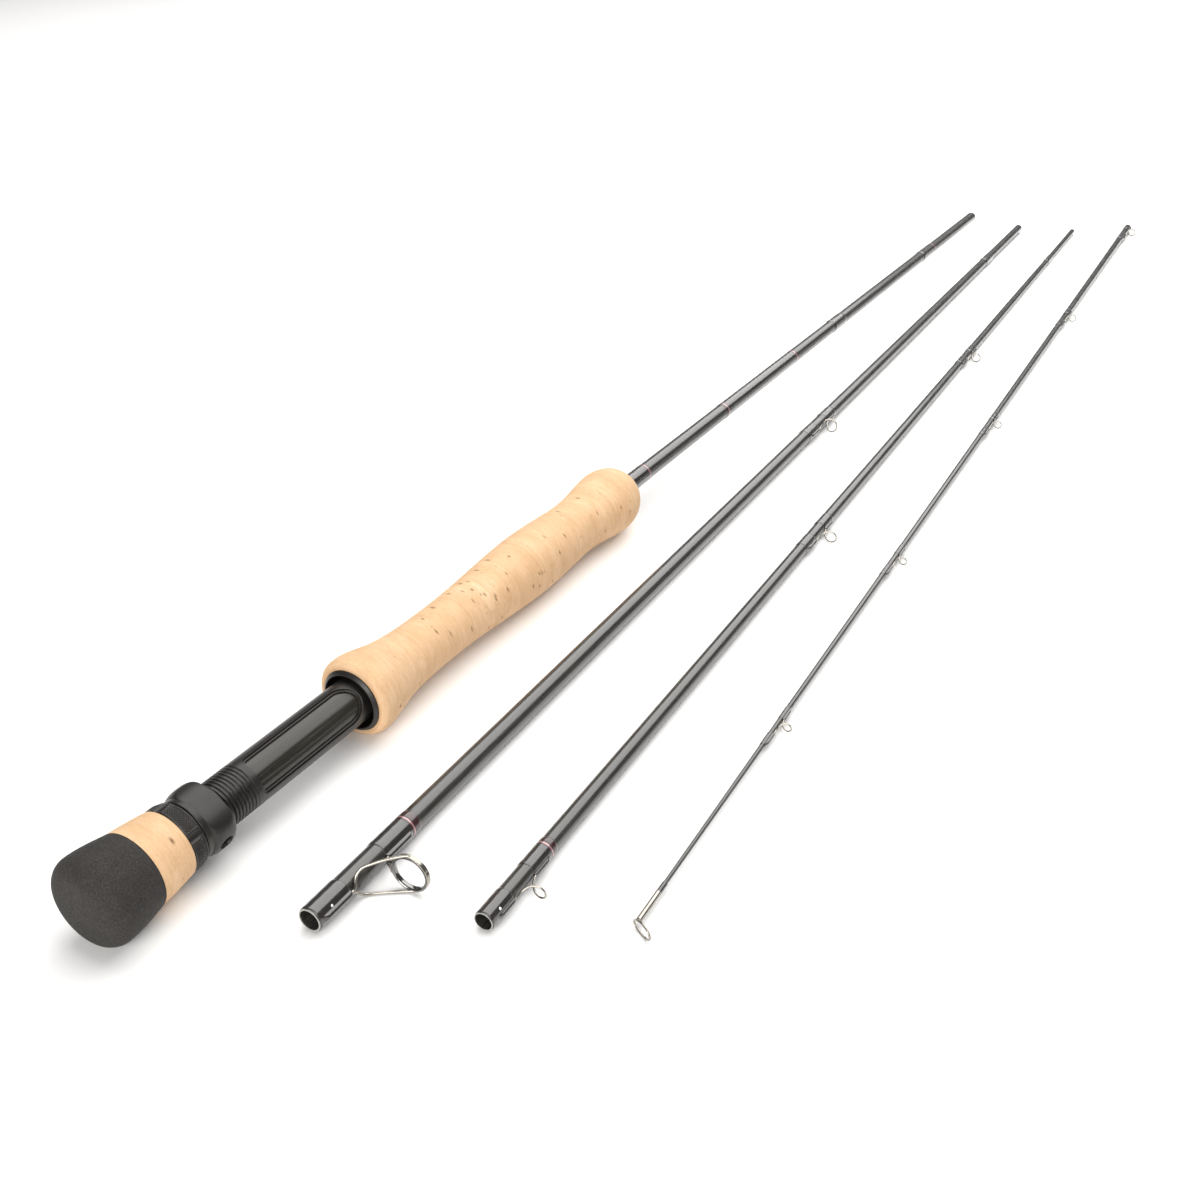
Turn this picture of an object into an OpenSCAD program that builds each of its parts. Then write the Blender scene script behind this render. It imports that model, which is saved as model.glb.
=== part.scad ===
// Four-piece fly rod, laid out in its sections: butt section with fighting butt,
// up-locking reel seat and full-wells cork grip, two middle sections and the tip.
// Millimetres. +Z is up and the ground is Z = 0. The butt section lies along +Y.

/* [Reel seat] */
// Radius of the reel seat barrel over its thread crests
barrel_r = 7.5; // [7.4:0.1:7.6]
// Thread pitch of the reel seat
thread_pitch = 1.3; // [1.2:0.1:1.6]
// Depth of the thread grooves
thread_depth = 0.42; // [0.3:0.02:0.5]
// Running clearance of the lock ring and the sliding hood over the barrel
seat_clear = 0.07; // [0.05:0.01:0.1]
// Half width of each barrel window at the outer surface
window_half = 5.9; // [5.4:0.1:6.0]
// Number of smooth flutes around the lock ring
flutes = 5; // [4:1:8]
// Radius of the round hole through each hood lobe
lobe_hole_r = 2.1; // [1.6:0.1:2.2]

/* [Butt and grip] */
// Largest radius of the foam butt cap
cap_r = 13.5; // [13.2:0.1:13.5]
// Number of cork rings glued up to make the grip
cork_rings = 13; // [13:1:13]
// Gap left for the glue line between two cork rings
glue_line = 0.04; // [0.02:0.01:0.08]

/* [Blanks] */
// Wall of the butt blank
wall_1 = 0.65; // [0.55:0.05:0.8]
// Wall of the second section's blank
wall_2 = 0.9; // [0.85:0.05:1.0]
// Radius of the butt section's spigot
spigot_1_r = 2.97; // [2.94:0.01:2.98]
// Radius of the second section's spigot
spigot_2_r = 2.42; // [2.39:0.01:2.43]
// Radius of the third section's spigot
spigot_3_r = 1.62; // [1.59:0.01:1.63]
// Radial clearance of each socket over its spigot
ferrule_clear = 0.03; // [0.02:0.01:0.04]
// Build-up of the epoxied thread wraps over the blank
wrap_up = 0.26; // [0.2:0.02:0.3]

/* [Guides] */
// Wire radius of the stripping guide frame
frame_wire_r = 0.42; // [0.35:0.01:0.45]
// Wire radius of the snake guides
snake_wire_r = 0.32; // [0.28:0.01:0.34]
// Inner radius of the stripping guide's ceramic ring
ring_in_r = 4.8; // [4.6:0.1:4.9]

/* [Hidden] */
$fn = 96;

// where the layout's reference point sits from the butt section's axis
shift = [-54.45, -396.03, 0];

// [x, y, z, heading, tilt, length] of each section's near end, heading clockwise from +Y
SEC = [[0, 0, 13.51, 0, 0, 729],
       [43.84, 29.71, 3.95, -1.52, -0.105, 728.5],
       [82.38, 52.59, 3.25, -2.06, -0.115, 719.5],
       [116.24, 74.17, 2.05, -2.34, 0.05, 722.5]];
// how far each section's guides point above the horizontal
ROLL = [0, 9.8, 3.4, 14];

// stand a child modelled along +Z, guides towards +X, on section n
module on(n) translate(shift + [SEC[n][0], SEC[n][1], SEC[n][2]])
  rotate([SEC[n][4], 0, -SEC[n][3]]) rotate([-90, 0, 0]) rotate([0, 0, -ROLL[n]]) children();

// body of revolution from [radius, station] points
module turn(pts) rotate_extrude() polygon(pts);
module ring(r0, r1, a, b) turn([[r0, a], [r1, a], [r1, b], [r0, b]]);

// radius tables [station, radius] of the four blanks
T1 = [[2, 3.95], [120, 3.85], [271, 3.56], [400, 3.32], [560, 3.12], [648, 3.02], [652, spigot_1_r], [729, spigot_1_r]];
T2 = [[0, 3.56], [100, 3.45], [300, 3.12], [480, 2.8], [652, 2.5], [658, spigot_2_r], [728.5, spigot_2_r]];
T3 = [[0, 2.85], [100, 2.66], [250, 2.48], [350, 2.25], [480, 1.98], [600, 1.8], [650, 1.68], [656, spigot_3_r], [719.5, spigot_3_r]];
T4 = [[0.8, 0.6], [13, 0.62], [60, 0.74], [110, 0.95], [220, 1.2], [350, 1.43], [480, 1.66], [600, 1.86], [722.5, 2.1]];
function rad(t, s) = lookup(s, t);

socket_2 = spigot_1_r + ferrule_clear;
socket_3 = spigot_2_r + ferrule_clear;
socket_4 = spigot_3_r + ferrule_clear;
socket_len = 62;

// ---------- smooth curves ----------
function cr(a, b, c, d, t) = 0.5 * (2*b + (c - a)*t + (2*a - 5*b + 4*c - d)*t*t + (3*b - a - 3*c + d)*t*t*t);
function curve(p, n) = let(m = len(p)) concat(
  [for (i = [0:m-2]) for (k = [0:n-1]) cr(p[max(i-1, 0)], p[i], p[i+1], p[min(i+2, m-1)], k/n)], [p[m-1]]);
function ring_curve(p, n) = let(m = len(p)) [for (i = [0:m-1]) for (k = [0:n-1])
  cr(p[(i+m-1)%m], p[i], p[(i+1)%m], p[(i+2)%m], k/n)];
function unit(v) = v / norm(v);
function tan_at(p, i, closed) = let(m = len(p)) closed ? unit(p[(i+1)%m] - p[(i+m-1)%m]) :
  unit(p[min(i+1, m-1)] - p[max(i-1, 0)]);
function flat(v, t) = unit(v - (v*t)*t);
function normals(p, n0) = let(m = len(p)) [for (i = 0, v = flat(n0, tan_at(p, 0, false)); i < m;
  i = i + 1, v = flat(v, tan_at(p, min(i, m-1), false))) v];

// round wire of radius r along an open path
module wire(p, r, sides = 8, n0 = [1, 0, 0]) {
  m = len(p); N = normals(p, n0);
  pts = [for (i = [0:m-1]) let(t = tan_at(p, i, false), u = N[i], w = cross(t, u))
    for (k = [0:sides-1]) p[i] + r*(cos(360*k/sides)*u + sin(360*k/sides)*w)];
  faces = concat([[for (k = [0:sides-1]) k]],
    [for (i = [0:m-2]) for (k = [0:sides-1]) let(a = i*sides + k, b = i*sides + (k+1)%sides) [a, a + sides, b + sides, b]],
    [[for (k = [sides-1:-1:0]) (m-1)*sides + k]]);
  polyhedron(pts, faces, convexity = 6);
}
// round wire of radius r along a closed path lying near the plane whose normal is q
module wire_loop(p, r, q, sides = 8) {
  m = len(p);
  pts = [for (i = [0:m-1]) let(t = tan_at(p, i, true), u = flat(q, t), w = cross(t, u))
    for (k = [0:sides-1]) p[i] + r*(cos(360*k/sides)*u + sin(360*k/sides)*w)];
  faces = [for (i = [0:m-1]) for (k = [0:sides-1]) let(j = (i+1)%m, a = i*sides + k, b = i*sides + (k+1)%sides,
    c = j*sides + (k+1)%sides, d = j*sides + k) [a, d, c, b]];
  polyhedron(pts, faces, convexity = 6);
}

// ---------- blanks ----------
// space that a blank takes up from a to b, with a gap round it
module blank_space(t, a, b, gap) turn(concat([[0, a], [rad(t, a) + gap, a]],
  [for (q = t) if (q[0] > a && q[0] < b) [q[1] + gap, q[0]]], [[rad(t, b) + gap, b], [0, b]]));
// outer radius points from the table, closed by a socket of radius rs and length ls at the near end
module blank_tube(t, wall, rs = 0, ls = 0) turn(concat(
  [for (q = t) [q[1], q[0]]],
  [for (i = [len(t)-1:-1:0]) if (t[i][0] > ls + 12 || ls == 0) [t[i][1] - wall, t[i][0]]],
  ls > 0 ? [[rad(t, ls + 8) - wall, ls + 8], [rad(t, ls + 8) - wall, ls], [rs, ls], [rs, t[0][0]]] : []));

module butt_blank() color([0.09, 0.09, 0.08]) on(0) blank_tube(T1, wall_1);
module blank_2() color([0.10, 0.10, 0.09]) on(1) blank_tube(T2, wall_2, socket_2, socket_len);
module blank_3() color([0.10, 0.10, 0.09]) on(2) blank_tube(T3, 0.5, socket_3, socket_len - 4);
module tip_blank() color([0.10, 0.10, 0.09]) on(3) difference() {
  turn(concat([[0, T4[0][0]]], [for (q = T4) [q[1], q[0]]], [[0, T4[8][0]]]));
  translate([0, 0, 722.5 - 56]) cylinder(r = socket_4, h = 57);
  translate([0, 0, 300]) cylinder(r1 = 0.7, r2 = 1.35, h = 722.5 - 56 - 306);
}

// ---------- fighting butt ----------
// quarter round from [r0, s0] inwards, radius q, n steps
function nose(rc, sc, q, a0, a1, n) = [for (i = [0:n]) let(a = a0 + (a1 - a0)*i/n) [rc + q*cos(a), sc + q*sin(a)]];
cap_end = 13.2;
module foam_butt_cap() color([0.17, 0.165, 0.16]) on(0) turn(concat(
  [[0, -4.1]], nose(cap_r - 5.2, 1.1, 5.2, -90, 0, 12), [[cap_r - 0.15, 4], [cap_r - 0.6, 8.5], [11.9, cap_end]],
  [[4.05, cap_end], [4.05, 1.4], [0, 1.4]]));
module cork_butt_ring() color([0.90, 0.74, 0.56]) on(0) turn(
  [[4.05, cap_end + 0.03], [11.88, cap_end + 0.03], [11.5, 17.6], [10.95, 21.8], [10.5, 25.1],
   [barrel_r + 0.02, 25.1], [barrel_r + 0.02, 16], [4.05, 16]]);

// ---------- reel seat ----------
barrel_a = 16.1;
barrel_b = 115;
thread_a = 25.6;
thread_n = floor((52.8 - thread_a)/thread_pitch);
function groove(s) = [[barrel_r, s - 0.42], [barrel_r - thread_depth, s - 0.16], [barrel_r - thread_depth, s + 0.16], [barrel_r, s + 0.42]];
window_roll = -43.5;
module seat_barrel() color([0.13, 0.125, 0.12]) on(0) rotate([0, 0, window_roll]) difference() {
  turn(concat([[6.55, barrel_a], [barrel_r, barrel_a]],
    [for (i = [0:thread_n]) each groove(thread_a + 0.6 + i*thread_pitch)],
    [[barrel_r, barrel_b], [6.55, barrel_b]]));
  for (m = [0, 180]) rotate([0, 0, m]) {
    // through window, square behind and round in front
    translate([5.5, -window_half + 0.75, 55.0]) cube([4, 2*window_half - 1.5, 38.5]);
    translate([5.5, 0, 93.5]) rotate([0, 90, 0]) cylinder(r = window_half - 0.75, h = 4);
    // shallow rebate round the window's edge
    translate([5.5, 0, 0]) intersection() {
      union() {
        translate([0, -window_half, 54.1]) cube([4, 2*window_half, 39.5]);
        translate([0, 0, 93.5]) rotate([0, 90, 0]) cylinder(r = window_half, h = 4);
      }
      translate([-5.5, 0, 50]) difference() { cylinder(r = 9, h = 60); translate([0, 0, -1]) cylinder(r = 7.05, h = 62); }
    }
  }
}
module seat_insert() color([0.07, 0.07, 0.07]) on(0) ring(5.3, 6.5, 18, 114);
module seat_arbors() color([0.78, 0.70, 0.52]) on(0) for (a = [21, 61, 99]) ring(4.02, 5.28, a, a + 9);

hood_face = 100.4;
module fixed_hood() color([0.11, 0.11, 0.11]) on(0) turn([
  [9.25, hood_face + 0.2], [9.42, hood_face], [9.7, hood_face + 0.15], [10.5, hood_face + 0.95], [10.6, hood_face + 1.2],
  [10.6, 118], [4.0, 118], [4.0, 116.2], [barrel_r + 0.02, 116.2], [barrel_r + 0.02, 111.5], [8.9, 111.5], [9.25, 110.8]]);

// flats of the sliding hood: two wide arcs leave a lobe on +X and on -X
hood_half_w = 8.72;
hood_side_d = 6;
hood_side_r = hood_side_d + hood_half_w;
hood_roll = 23;
hood_a = 31.0;
hood_b = 41.1;
module sliding_hood() color([0.15, 0.145, 0.14]) on(0) rotate([0, 0, hood_roll]) difference() {
  union() {
    ring(7, 9.45, hood_a, hood_a + 1.9);
    intersection() {
      turn([[7, hood_a + 1.5], [9.3, hood_a + 1.5], [9.9, hood_a + 2.6], [10.3, hood_a + 4.0], [10.4, hood_a + 5.4],
            [10.35, hood_b - 2.4], [10.2, hood_b - 1.4], [9.95, hood_b - 0.5], [9.6, hood_b], [7, hood_b]]);
      translate([0, hood_side_d, 30]) cylinder(r = hood_side_r, h = 20);
      translate([0, -hood_side_d, 30]) cylinder(r = hood_side_r, h = 20);
    }
  }
  translate([0, 0, 30]) cylinder(r = barrel_r + seat_clear, h = 20);
  // foot pockets under the two lobes
  intersection() {
    translate([0, 0, hood_a + 3.6]) cylinder(r = 9.0, h = 10.1);
    translate([-10, -4.4, hood_a + 3.6]) cube([20, 8.8, 10.1]);
  }
  for (m = [0, 180]) rotate([0, 0, m]) translate([6, 0, 36.9]) rotate([0, 90, 0]) cylinder(r = lobe_hole_r, h = 8);
}
module thrust_washer() color([0.05, 0.05, 0.05]) on(0) ring(barrel_r + seat_clear, 9.0, 30.6, 30.98);
lock_a = 25.3;
lock_b = 30.55;
module lock_ring() color([0.12, 0.115, 0.11]) on(0) difference() {
  turn([[barrel_r + seat_clear, lock_a], [10.2, lock_a], [10.45, lock_a + 0.3], [10.45, lock_a + 3.0], [9.85, lock_b - 0.3],
        [9.5, lock_b], [barrel_r + seat_clear, lock_b]]);
  for (i = [0:flutes-1]) rotate([0, 0, 42.6 + i*360/flutes]) translate([12.1, 0, lock_a - 1]) cylinder(r = 2.2, h = 9);
}

// ---------- cork grip ----------
grip_a = 101.6;
grip_b = 270.4;
GRIP = [[101.6, 11.3], [102.1, 12.3], [103.1, 13.05], [104.8, 13.4], [107.2, 13.35], [110, 12.95], [114, 12.05], [119, 11.0],
        [125, 10.2], [132, 9.75], [140, 9.55], [150, 9.55], [160, 9.85], [170, 10.4], [180, 11.05], [190, 11.6],
        [200, 11.85], [210, 11.6], [220, 11.05], [229, 10.65], [236, 10.8], [243, 11.45], [250, 12.4], [256, 12.95],
        [261, 12.5], [265, 11.1], [268, 8.9], [269.6, 6.6], [270.4, 4.6]];
GR = curve(GRIP, 5);
function grip_r(s) = lookup(s, GR);
ring_len = (grip_b - grip_a)/cork_rings;
module grip_ring(i) {
  a = grip_a + i*ring_len + (i > 0 ? glue_line/2 : 0);
  b = grip_a + (i + 1)*ring_len - (i < cork_rings - 1 ? glue_line/2 : 0);
  inner = [for (q = GR) if (q[0] > a + 0.02 && q[0] < b - 0.02) [q[1], q[0]]];
  color([0.91, 0.75, 0.57]) on(0) difference() {
    turn(concat([[3.2, a], [grip_r(a), a]], inner, [[grip_r(b), b], [3.2, b]]));
    blank_space(T1, 60, 272, 0.03);
    translate([0, 0, 60]) cylinder(r = 10.63, h = 58.03);
  }
}

// ---------- thread wraps ----------
// epoxied wrap from a to b over blank table t, tapered at each end
module wrap(t, a, b, up = wrap_up, ea = 0.8, eb = 0.8) difference() {
  turn(concat([[0, a], [rad(t, a) + (ea > 0 ? 0.07 : up), a], [rad(t, a + ea) + up, a + ea + 0.01]],
    [for (q = t) if (q[0] > a + ea + 0.3 && q[0] < b - eb - 0.3) [q[1] + up, q[0]]],
    [[rad(t, b - eb) + up, b - eb - 0.01], [rad(t, b) + (eb > 0 ? 0.07 : up), b], [0, b]]));
  blank_space(t, a - 1, b + 1, 0.01);
}
// raised run over a guide foot from a to b: tunnel for the foot wire of radius w
module foot_cover(t, a, b, w, e = 0) translate([rad(t, (a+b)/2) + w + 0.03, 0, a]) cylinder(r = w + e + 0.24, h = b - a);
module foot_tunnel(t, a, b, w, e = 0) translate([rad(t, (a+b)/2) + w + 0.03, 0, a - 1]) cylinder(r = w + e + 0.05, h = b - a + 2, $fn = 24);
// a foot of two wires side by side is wider than one by e
module foot_wrap(t, a, b, w, up = wrap_up, e = 0) difference() {
  union() { wrap(t, a, b, up); foot_cover(t, a + 1.2, b - 1.2, w, e); }
  foot_tunnel(t, a, b, w, e);
  blank_space(t, a - 1, b + 1, 0.01);
}

module grip_wrap() color([0.07, 0.06, 0.06]) on(0) wrap(T1, 270.45, 286.4, 0.2, 0, 0);
module decal_wrap() color([0.08, 0.07, 0.07]) on(0) wrap(T1, 362, 437, 0.12, 0, 0);
module butt_mid_wrap() color([0.07, 0.06, 0.06]) on(0) wrap(T1, 488, 503, 0.24);
module spigot_wrap_1() color([0.07, 0.05, 0.05]) on(0) wrap(T1, 628, 646, 0.26, 0.8, 0);
module trim_rings_1() color([0.45, 0.10, 0.08]) on(0) {
  wrap(T1, 286.45, 288.2, 0.19, 0, 0.6);
  wrap(T1, 359.6, 361.95, 0.15, 0.7, 0);
  wrap(T1, 437.05, 439.6, 0.15, 0, 0.7);
  wrap(T1, 646.05, 649, 0.24, 0, 0.8);
}

module socket_wrap_2() color([0.07, 0.06, 0.06]) on(1) foot_wrap(T2, 0.4, 12.8, frame_wire_r, wrap_up, 0.16);
module guide_wrap_2() color([0.07, 0.06, 0.06]) on(1) difference() {
  union() { wrap(T2, 28.6, 40.6, wrap_up, 0.8, 0); foot_cover(T2, 29.5, 39.4, frame_wire_r, 0.13); }
  foot_tunnel(T2, 27, 39, frame_wire_r, 0.13);
  blank_space(T2, 27, 42, 0.01);
}
module trim_rings_2() color([0.55, 0.12, 0.12]) on(1) { wrap(T2, 40.65, 42.0, 0.24, 0, 0); wrap(T2, 42.05, 44.8, 0.22, 0, 1.6); }
module snake_wraps_2() color([0.07, 0.06, 0.06]) on(1) { foot_wrap(T2, 344.5, 355.2, snake_wire_r, 0.2); foot_wrap(T2, 366.3, 377, snake_wire_r, 0.2); }
module spigot_wrap_2() color([0.07, 0.05, 0.05]) on(1) wrap(T2, 642, 657, 0.24);
module align_dot(t, s) translate([rad(t, s) + wrap_up - 0.02, 0, s]) rotate([0, 90, 0]) cylinder(r = 0.42, h = 0.1);
module align_dot_2() color([0.95, 0.95, 0.93]) on(1) rotate([0, 0, -22]) align_dot(T2, 5.6);

module socket_wrap_3() color([0.07, 0.06, 0.06]) on(2) foot_wrap(T3, 0.4, 10.6, snake_wire_r, 0.23);
module guide_wrap_3() color([0.07, 0.06, 0.06]) on(2) difference() {
  union() { wrap(T3, 21.2, 30.4, 0.23, 0.8, 0); foot_cover(T3, 22.2, 28, snake_wire_r); }
  foot_tunnel(T3, 20, 27.4, snake_wire_r);
  blank_space(T3, 20, 32, 0.01);
}
module trim_rings_3() color([0.55, 0.12, 0.12]) on(2) { wrap(T3, 30.45, 31.7, 0.22, 0, 0); wrap(T3, 31.75, 33.8, 0.2, 0, 1.2); }
module snake_wraps_3() color([0.07, 0.06, 0.06]) on(2) {
  foot_wrap(T3, 226, 235.4, snake_wire_r, 0.2); foot_wrap(T3, 245.6, 255, snake_wire_r, 0.2);
  foot_wrap(T3, 446, 455, snake_wire_r, 0.18); foot_wrap(T3, 464.4, 473.4, snake_wire_r, 0.18);
}
module spigot_wrap_3() color([0.07, 0.05, 0.05]) on(2) wrap(T3, 642, 655, 0.2);
module align_dot_3() color([0.95, 0.95, 0.93]) on(2) rotate([0, 0, -35]) translate([-0.03, 0, 0]) align_dot(T3, 4.6);

module socket_wrap_4() color([0.07, 0.06, 0.06]) on(3) foot_wrap(T4, 713.4, 722.1, snake_wire_r, 0.2);
module snake_wraps_4() color([0.07, 0.06, 0.06]) on(3) {
  for (q = [[84.5, 91.6], [99.8, 106.8], [202, 210], [219.6, 227.4], [345, 353], [363.4, 371], [507, 515.4], [527, 535]])
    foot_wrap(T4, q[0], q[1], snake_wire_r - 0.05, 0.15);
  foot_wrap(T4, 690, 702.2, snake_wire_r, 0.2);
}
module tip_top_wrap() color([0.07, 0.06, 0.06]) on(3) wrap(T4, 12.05, 16.4, 0.2, 0, 0.8);

// ---------- guides ----------
// snake guide: one wire bent up from its front foot, round a loop and down to its back foot
// m mid station, g gap between wraps, o outermost reach, q loop radius, f foot length
function snake_path(t, m, g, o, q, f, w) = let(r0 = rad(t, m - g/2 - f/2) + w + 0.03, r1 = rad(t, m + g/2 + f/2) + w + 0.03, c = o - w - q)
  curve([[r0, 0, m - g/2 - f], [r0, 0, m - g/2 - f/2], [r0, 0, m - g/2 - 0.1],
   [r0 + 0.16*(c - r0), -0.42*q, m - 0.28*g], [r0 + 0.58*(c - r0), -0.9*q, m - 0.13*g],
   [c + 0.3*q, -0.95*q, m - 0.05*g], [c + 0.88*q, -0.5*q, m - 0.02*g], [c + q, 0, m], [c + 0.88*q, 0.5*q, m + 0.02*g], [c + 0.3*q, 0.95*q, m + 0.05*g],
   [r0 + 0.58*(c - r0), 0.9*q, m + 0.13*g], [r0 + 0.16*(c - r0), 0.42*q, m + 0.28*g],
   [r1, 0, m + g/2 + 0.1], [r1, 0, m + g/2 + f/2], [r1, 0, m + g/2 + f]], 3);
module snake(t, m, g, o, q, f, w = snake_wire_r) wire(snake_path(t, m, g, o, q, f, w), w, 8, [1, 0, 0]);

module snake_guide_2() color([0.72, 0.71, 0.68]) on(1) snake(T2, 360.75, 10.5, 9.9, 3.35, 7.5);
module snake_guides_3() color([0.72, 0.71, 0.68]) on(2) {
  snake(T3, 15.9, 10.6, 9.7, 2.5, 5);
  snake(T3, 240.5, 10.2, 9.4, 2.5, 6);
  snake(T3, 459.7, 9.4, 7.9, 2.3, 6);
}
module snake_guides_4() color([0.72, 0.71, 0.68]) on(3) {
  snake(T4, 95.7, 8.2, 5.5, 1.75, 4.5, snake_wire_r - 0.05);
  snake(T4, 214.8, 9.6, 5.7, 1.8, 5, snake_wire_r - 0.05);
  snake(T4, 358.2, 10.4, 6.2, 1.9, 5, snake_wire_r - 0.05);
  snake(T4, 521.2, 11.6, 6.8, 2.1, 5, snake_wire_r - 0.05);
  snake(T4, 707.8, 11.2, 7.4, 2.3, 6);
}

// stripping guide: ceramic ring in a band, two long front legs and a short back leg
ring_out_r = ring_in_r + 0.65;
band_r = ring_out_r + 0.45;
guide_c = [14.35, 0, 25.1];
guide_lean = -2;
module at_ring() translate(guide_c) rotate([0, guide_lean, 0]) children();
module stripping_guide_ring() color([0.20, 0.20, 0.21]) on(1) at_ring() turn([
  [ring_in_r, -0.35], [ring_in_r + 0.2, -0.8], [ring_in_r + 0.45, -0.95], [ring_out_r - 0.02, -0.9],
  [ring_out_r - 0.02, 0.9], [ring_in_r + 0.45, 0.95], [ring_in_r + 0.2, 0.8], [ring_in_r, 0.35]]);
foot_x = 3.56 + frame_wire_r + 0.03;
module stripping_guide_frame() color([0.66, 0.65, 0.62]) on(1) difference() {
  union() {
    at_ring() turn([[ring_out_r, -0.75], [band_r - 0.1, -0.75], [band_r, -0.6], [band_r, 0.6], [band_r - 0.1, 0.75], [ring_out_r, 0.75]]);
    for (m = [-1, 1]) wire(curve([[foot_x, m*0.15, 3.5], [foot_x, m*0.15, 9], [foot_x, m*0.15, 13], [foot_x + 0.02, m*0.9, 14.5],
      [3.5, m*2.35, 15.7], [3.7, m*3.6, 16.8], [4.7, m*4.4 - 0.25, 18.1], [6.4, m*4.8 - 0.3, 19.5], [9.5, m*5.35 - 0.3, 21.7], [12.4, m*5.7 - 0.15, 23.6],
      [14.2, m*5.8 - 0.05, 24.7], [15.2, m*5.78, 25.1]], 4), frame_wire_r, 8);
    for (m = [-1, 1]) wire(curve([[foot_x, m*0.12, 38.6], [foot_x, m*0.12, 34], [foot_x, m*0.12, 28.6], [foot_x + 0.5, m*0.3, 27.5],
      [foot_x + 2.5, m*0.9, 26.2], [8.4, m*1.9, 25.5], [9.2, m*2.9, 25.2]], 4), frame_wire_r, 8);
    // flat tab between the back leg and the ring
    translate([7.3, -1.5, 24.9]) cube([2.2, 3, 1]);
  }
  at_ring() cylinder(r = ring_out_r, h = 6, center = true);
}

// tip-top: tube over the blank's end with a pear-shaped loop
module tip_top_tube() color([0.72, 0.71, 0.68]) on(3) turn([[0.66, 0.7], [0.66, 12], [0.86, 12], [0.86, 0.4], [0.7, 0], [0, 0], [0, 0.7]]);
tip_r = 0.34;
module tip_top_loop() color([0.72, 0.71, 0.68]) on(3) {
  wire_loop(ring_curve([for (p = [[-0.9, 0.0], [-0.4, 1.15], [1.5, 2.1], [3.7, 2.35], [5.3, 1.3], [5.75, 0], [5.3, -1.3], [3.7, -2.35], [1.5, -2.1], [-0.4, -1.15]])
    [p[0], p[1], -0.62 - 0.62*(p[0] + 0.9)]], 5), tip_r, [0.527, 0, 0.85]);
}

butt_blank();
foam_butt_cap();
cork_butt_ring();
seat_barrel();
seat_insert();
seat_arbors();
fixed_hood();
grip_ring(0);  // grip_ring_01
grip_ring(1);  // grip_ring_02
grip_ring(2);  // grip_ring_03
grip_ring(3);  // grip_ring_04
grip_ring(4);  // grip_ring_05
grip_ring(5);  // grip_ring_06
grip_ring(6);  // grip_ring_07
grip_ring(7);  // grip_ring_08
grip_ring(8);  // grip_ring_09
grip_ring(9);  // grip_ring_10
grip_ring(10);  // grip_ring_11
grip_ring(11);  // grip_ring_12
grip_ring(12);  // grip_ring_13
grip_wrap();
decal_wrap();
butt_mid_wrap();
spigot_wrap_1();
trim_rings_1();
sliding_hood();
thrust_washer();
lock_ring();
blank_2();
socket_wrap_2();
guide_wrap_2();
snake_wraps_2();
spigot_wrap_2();
trim_rings_2();
stripping_guide_frame();
stripping_guide_ring();
snake_guide_2();
align_dot_2();
blank_3();
socket_wrap_3();
guide_wrap_3();
snake_wraps_3();
spigot_wrap_3();
trim_rings_3();
snake_guides_3();
align_dot_3();
tip_blank();
socket_wrap_4();
snake_wraps_4();
snake_guides_4();
tip_top_tube();
tip_top_loop();
tip_top_wrap();
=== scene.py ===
import math

import bpy
import bmesh
import numpy as np
from mathutils import Matrix, Vector


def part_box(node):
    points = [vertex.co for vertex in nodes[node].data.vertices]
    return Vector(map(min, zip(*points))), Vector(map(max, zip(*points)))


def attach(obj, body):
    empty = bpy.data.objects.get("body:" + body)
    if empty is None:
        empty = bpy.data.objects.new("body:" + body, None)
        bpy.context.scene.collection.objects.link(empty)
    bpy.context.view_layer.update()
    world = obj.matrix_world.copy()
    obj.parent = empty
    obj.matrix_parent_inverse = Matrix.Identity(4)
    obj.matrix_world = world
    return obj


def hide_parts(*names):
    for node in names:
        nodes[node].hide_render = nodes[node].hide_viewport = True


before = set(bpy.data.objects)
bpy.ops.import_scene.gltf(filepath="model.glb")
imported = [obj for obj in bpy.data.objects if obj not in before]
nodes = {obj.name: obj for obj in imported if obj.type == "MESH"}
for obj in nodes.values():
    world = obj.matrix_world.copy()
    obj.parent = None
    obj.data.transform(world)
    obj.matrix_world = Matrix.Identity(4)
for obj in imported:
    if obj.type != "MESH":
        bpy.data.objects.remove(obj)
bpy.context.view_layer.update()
PI = math.pi

# ------------------------------------------------------------------ placement
# the four sections as part.scad lays them out: millimetres, near end x, y, z,
# heading clockwise from +Y, tilt; ROLL is how far the guides point above level
SEC = [[0, 0, 13.51, 0, 0],
       [43.84, 29.71, 3.95, -1.52, -0.105],
       [82.38, 52.59, 3.25, -2.06, -0.115],
       [116.24, 74.17, 2.05, -2.34, 0.05]]
ROLL = [0, 9.8, 3.4, 14]
b_lo, b_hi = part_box("butt_blank")
SHIFT = Vector(((b_lo.x + b_hi.x) / 2, b_lo.y - 0.002, 0))
M = []
for q in SEC:
    M.append(Matrix.Translation(SHIFT + Vector(q[:3]) / 1000)
             @ Matrix.Rotation(math.radians(-q[3]), 4, "Z") @ Matrix.Rotation(math.radians(q[4]), 4, "X")
             @ Matrix.Rotation(math.radians(-90), 4, "X"))


def rolled(verts, n):
    """Millimetre points turned by the section's roll, in metres."""
    a = math.radians(-ROLL[n])
    R = np.array([[math.cos(a), math.sin(a), 0], [-math.sin(a), math.cos(a), 0], [0, 0, 1]])
    return (np.asarray(verts, float) @ R / 1000).tolist()


BODY = ["butt_section", "section_2", "section_3", "tip_section"]

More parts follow.
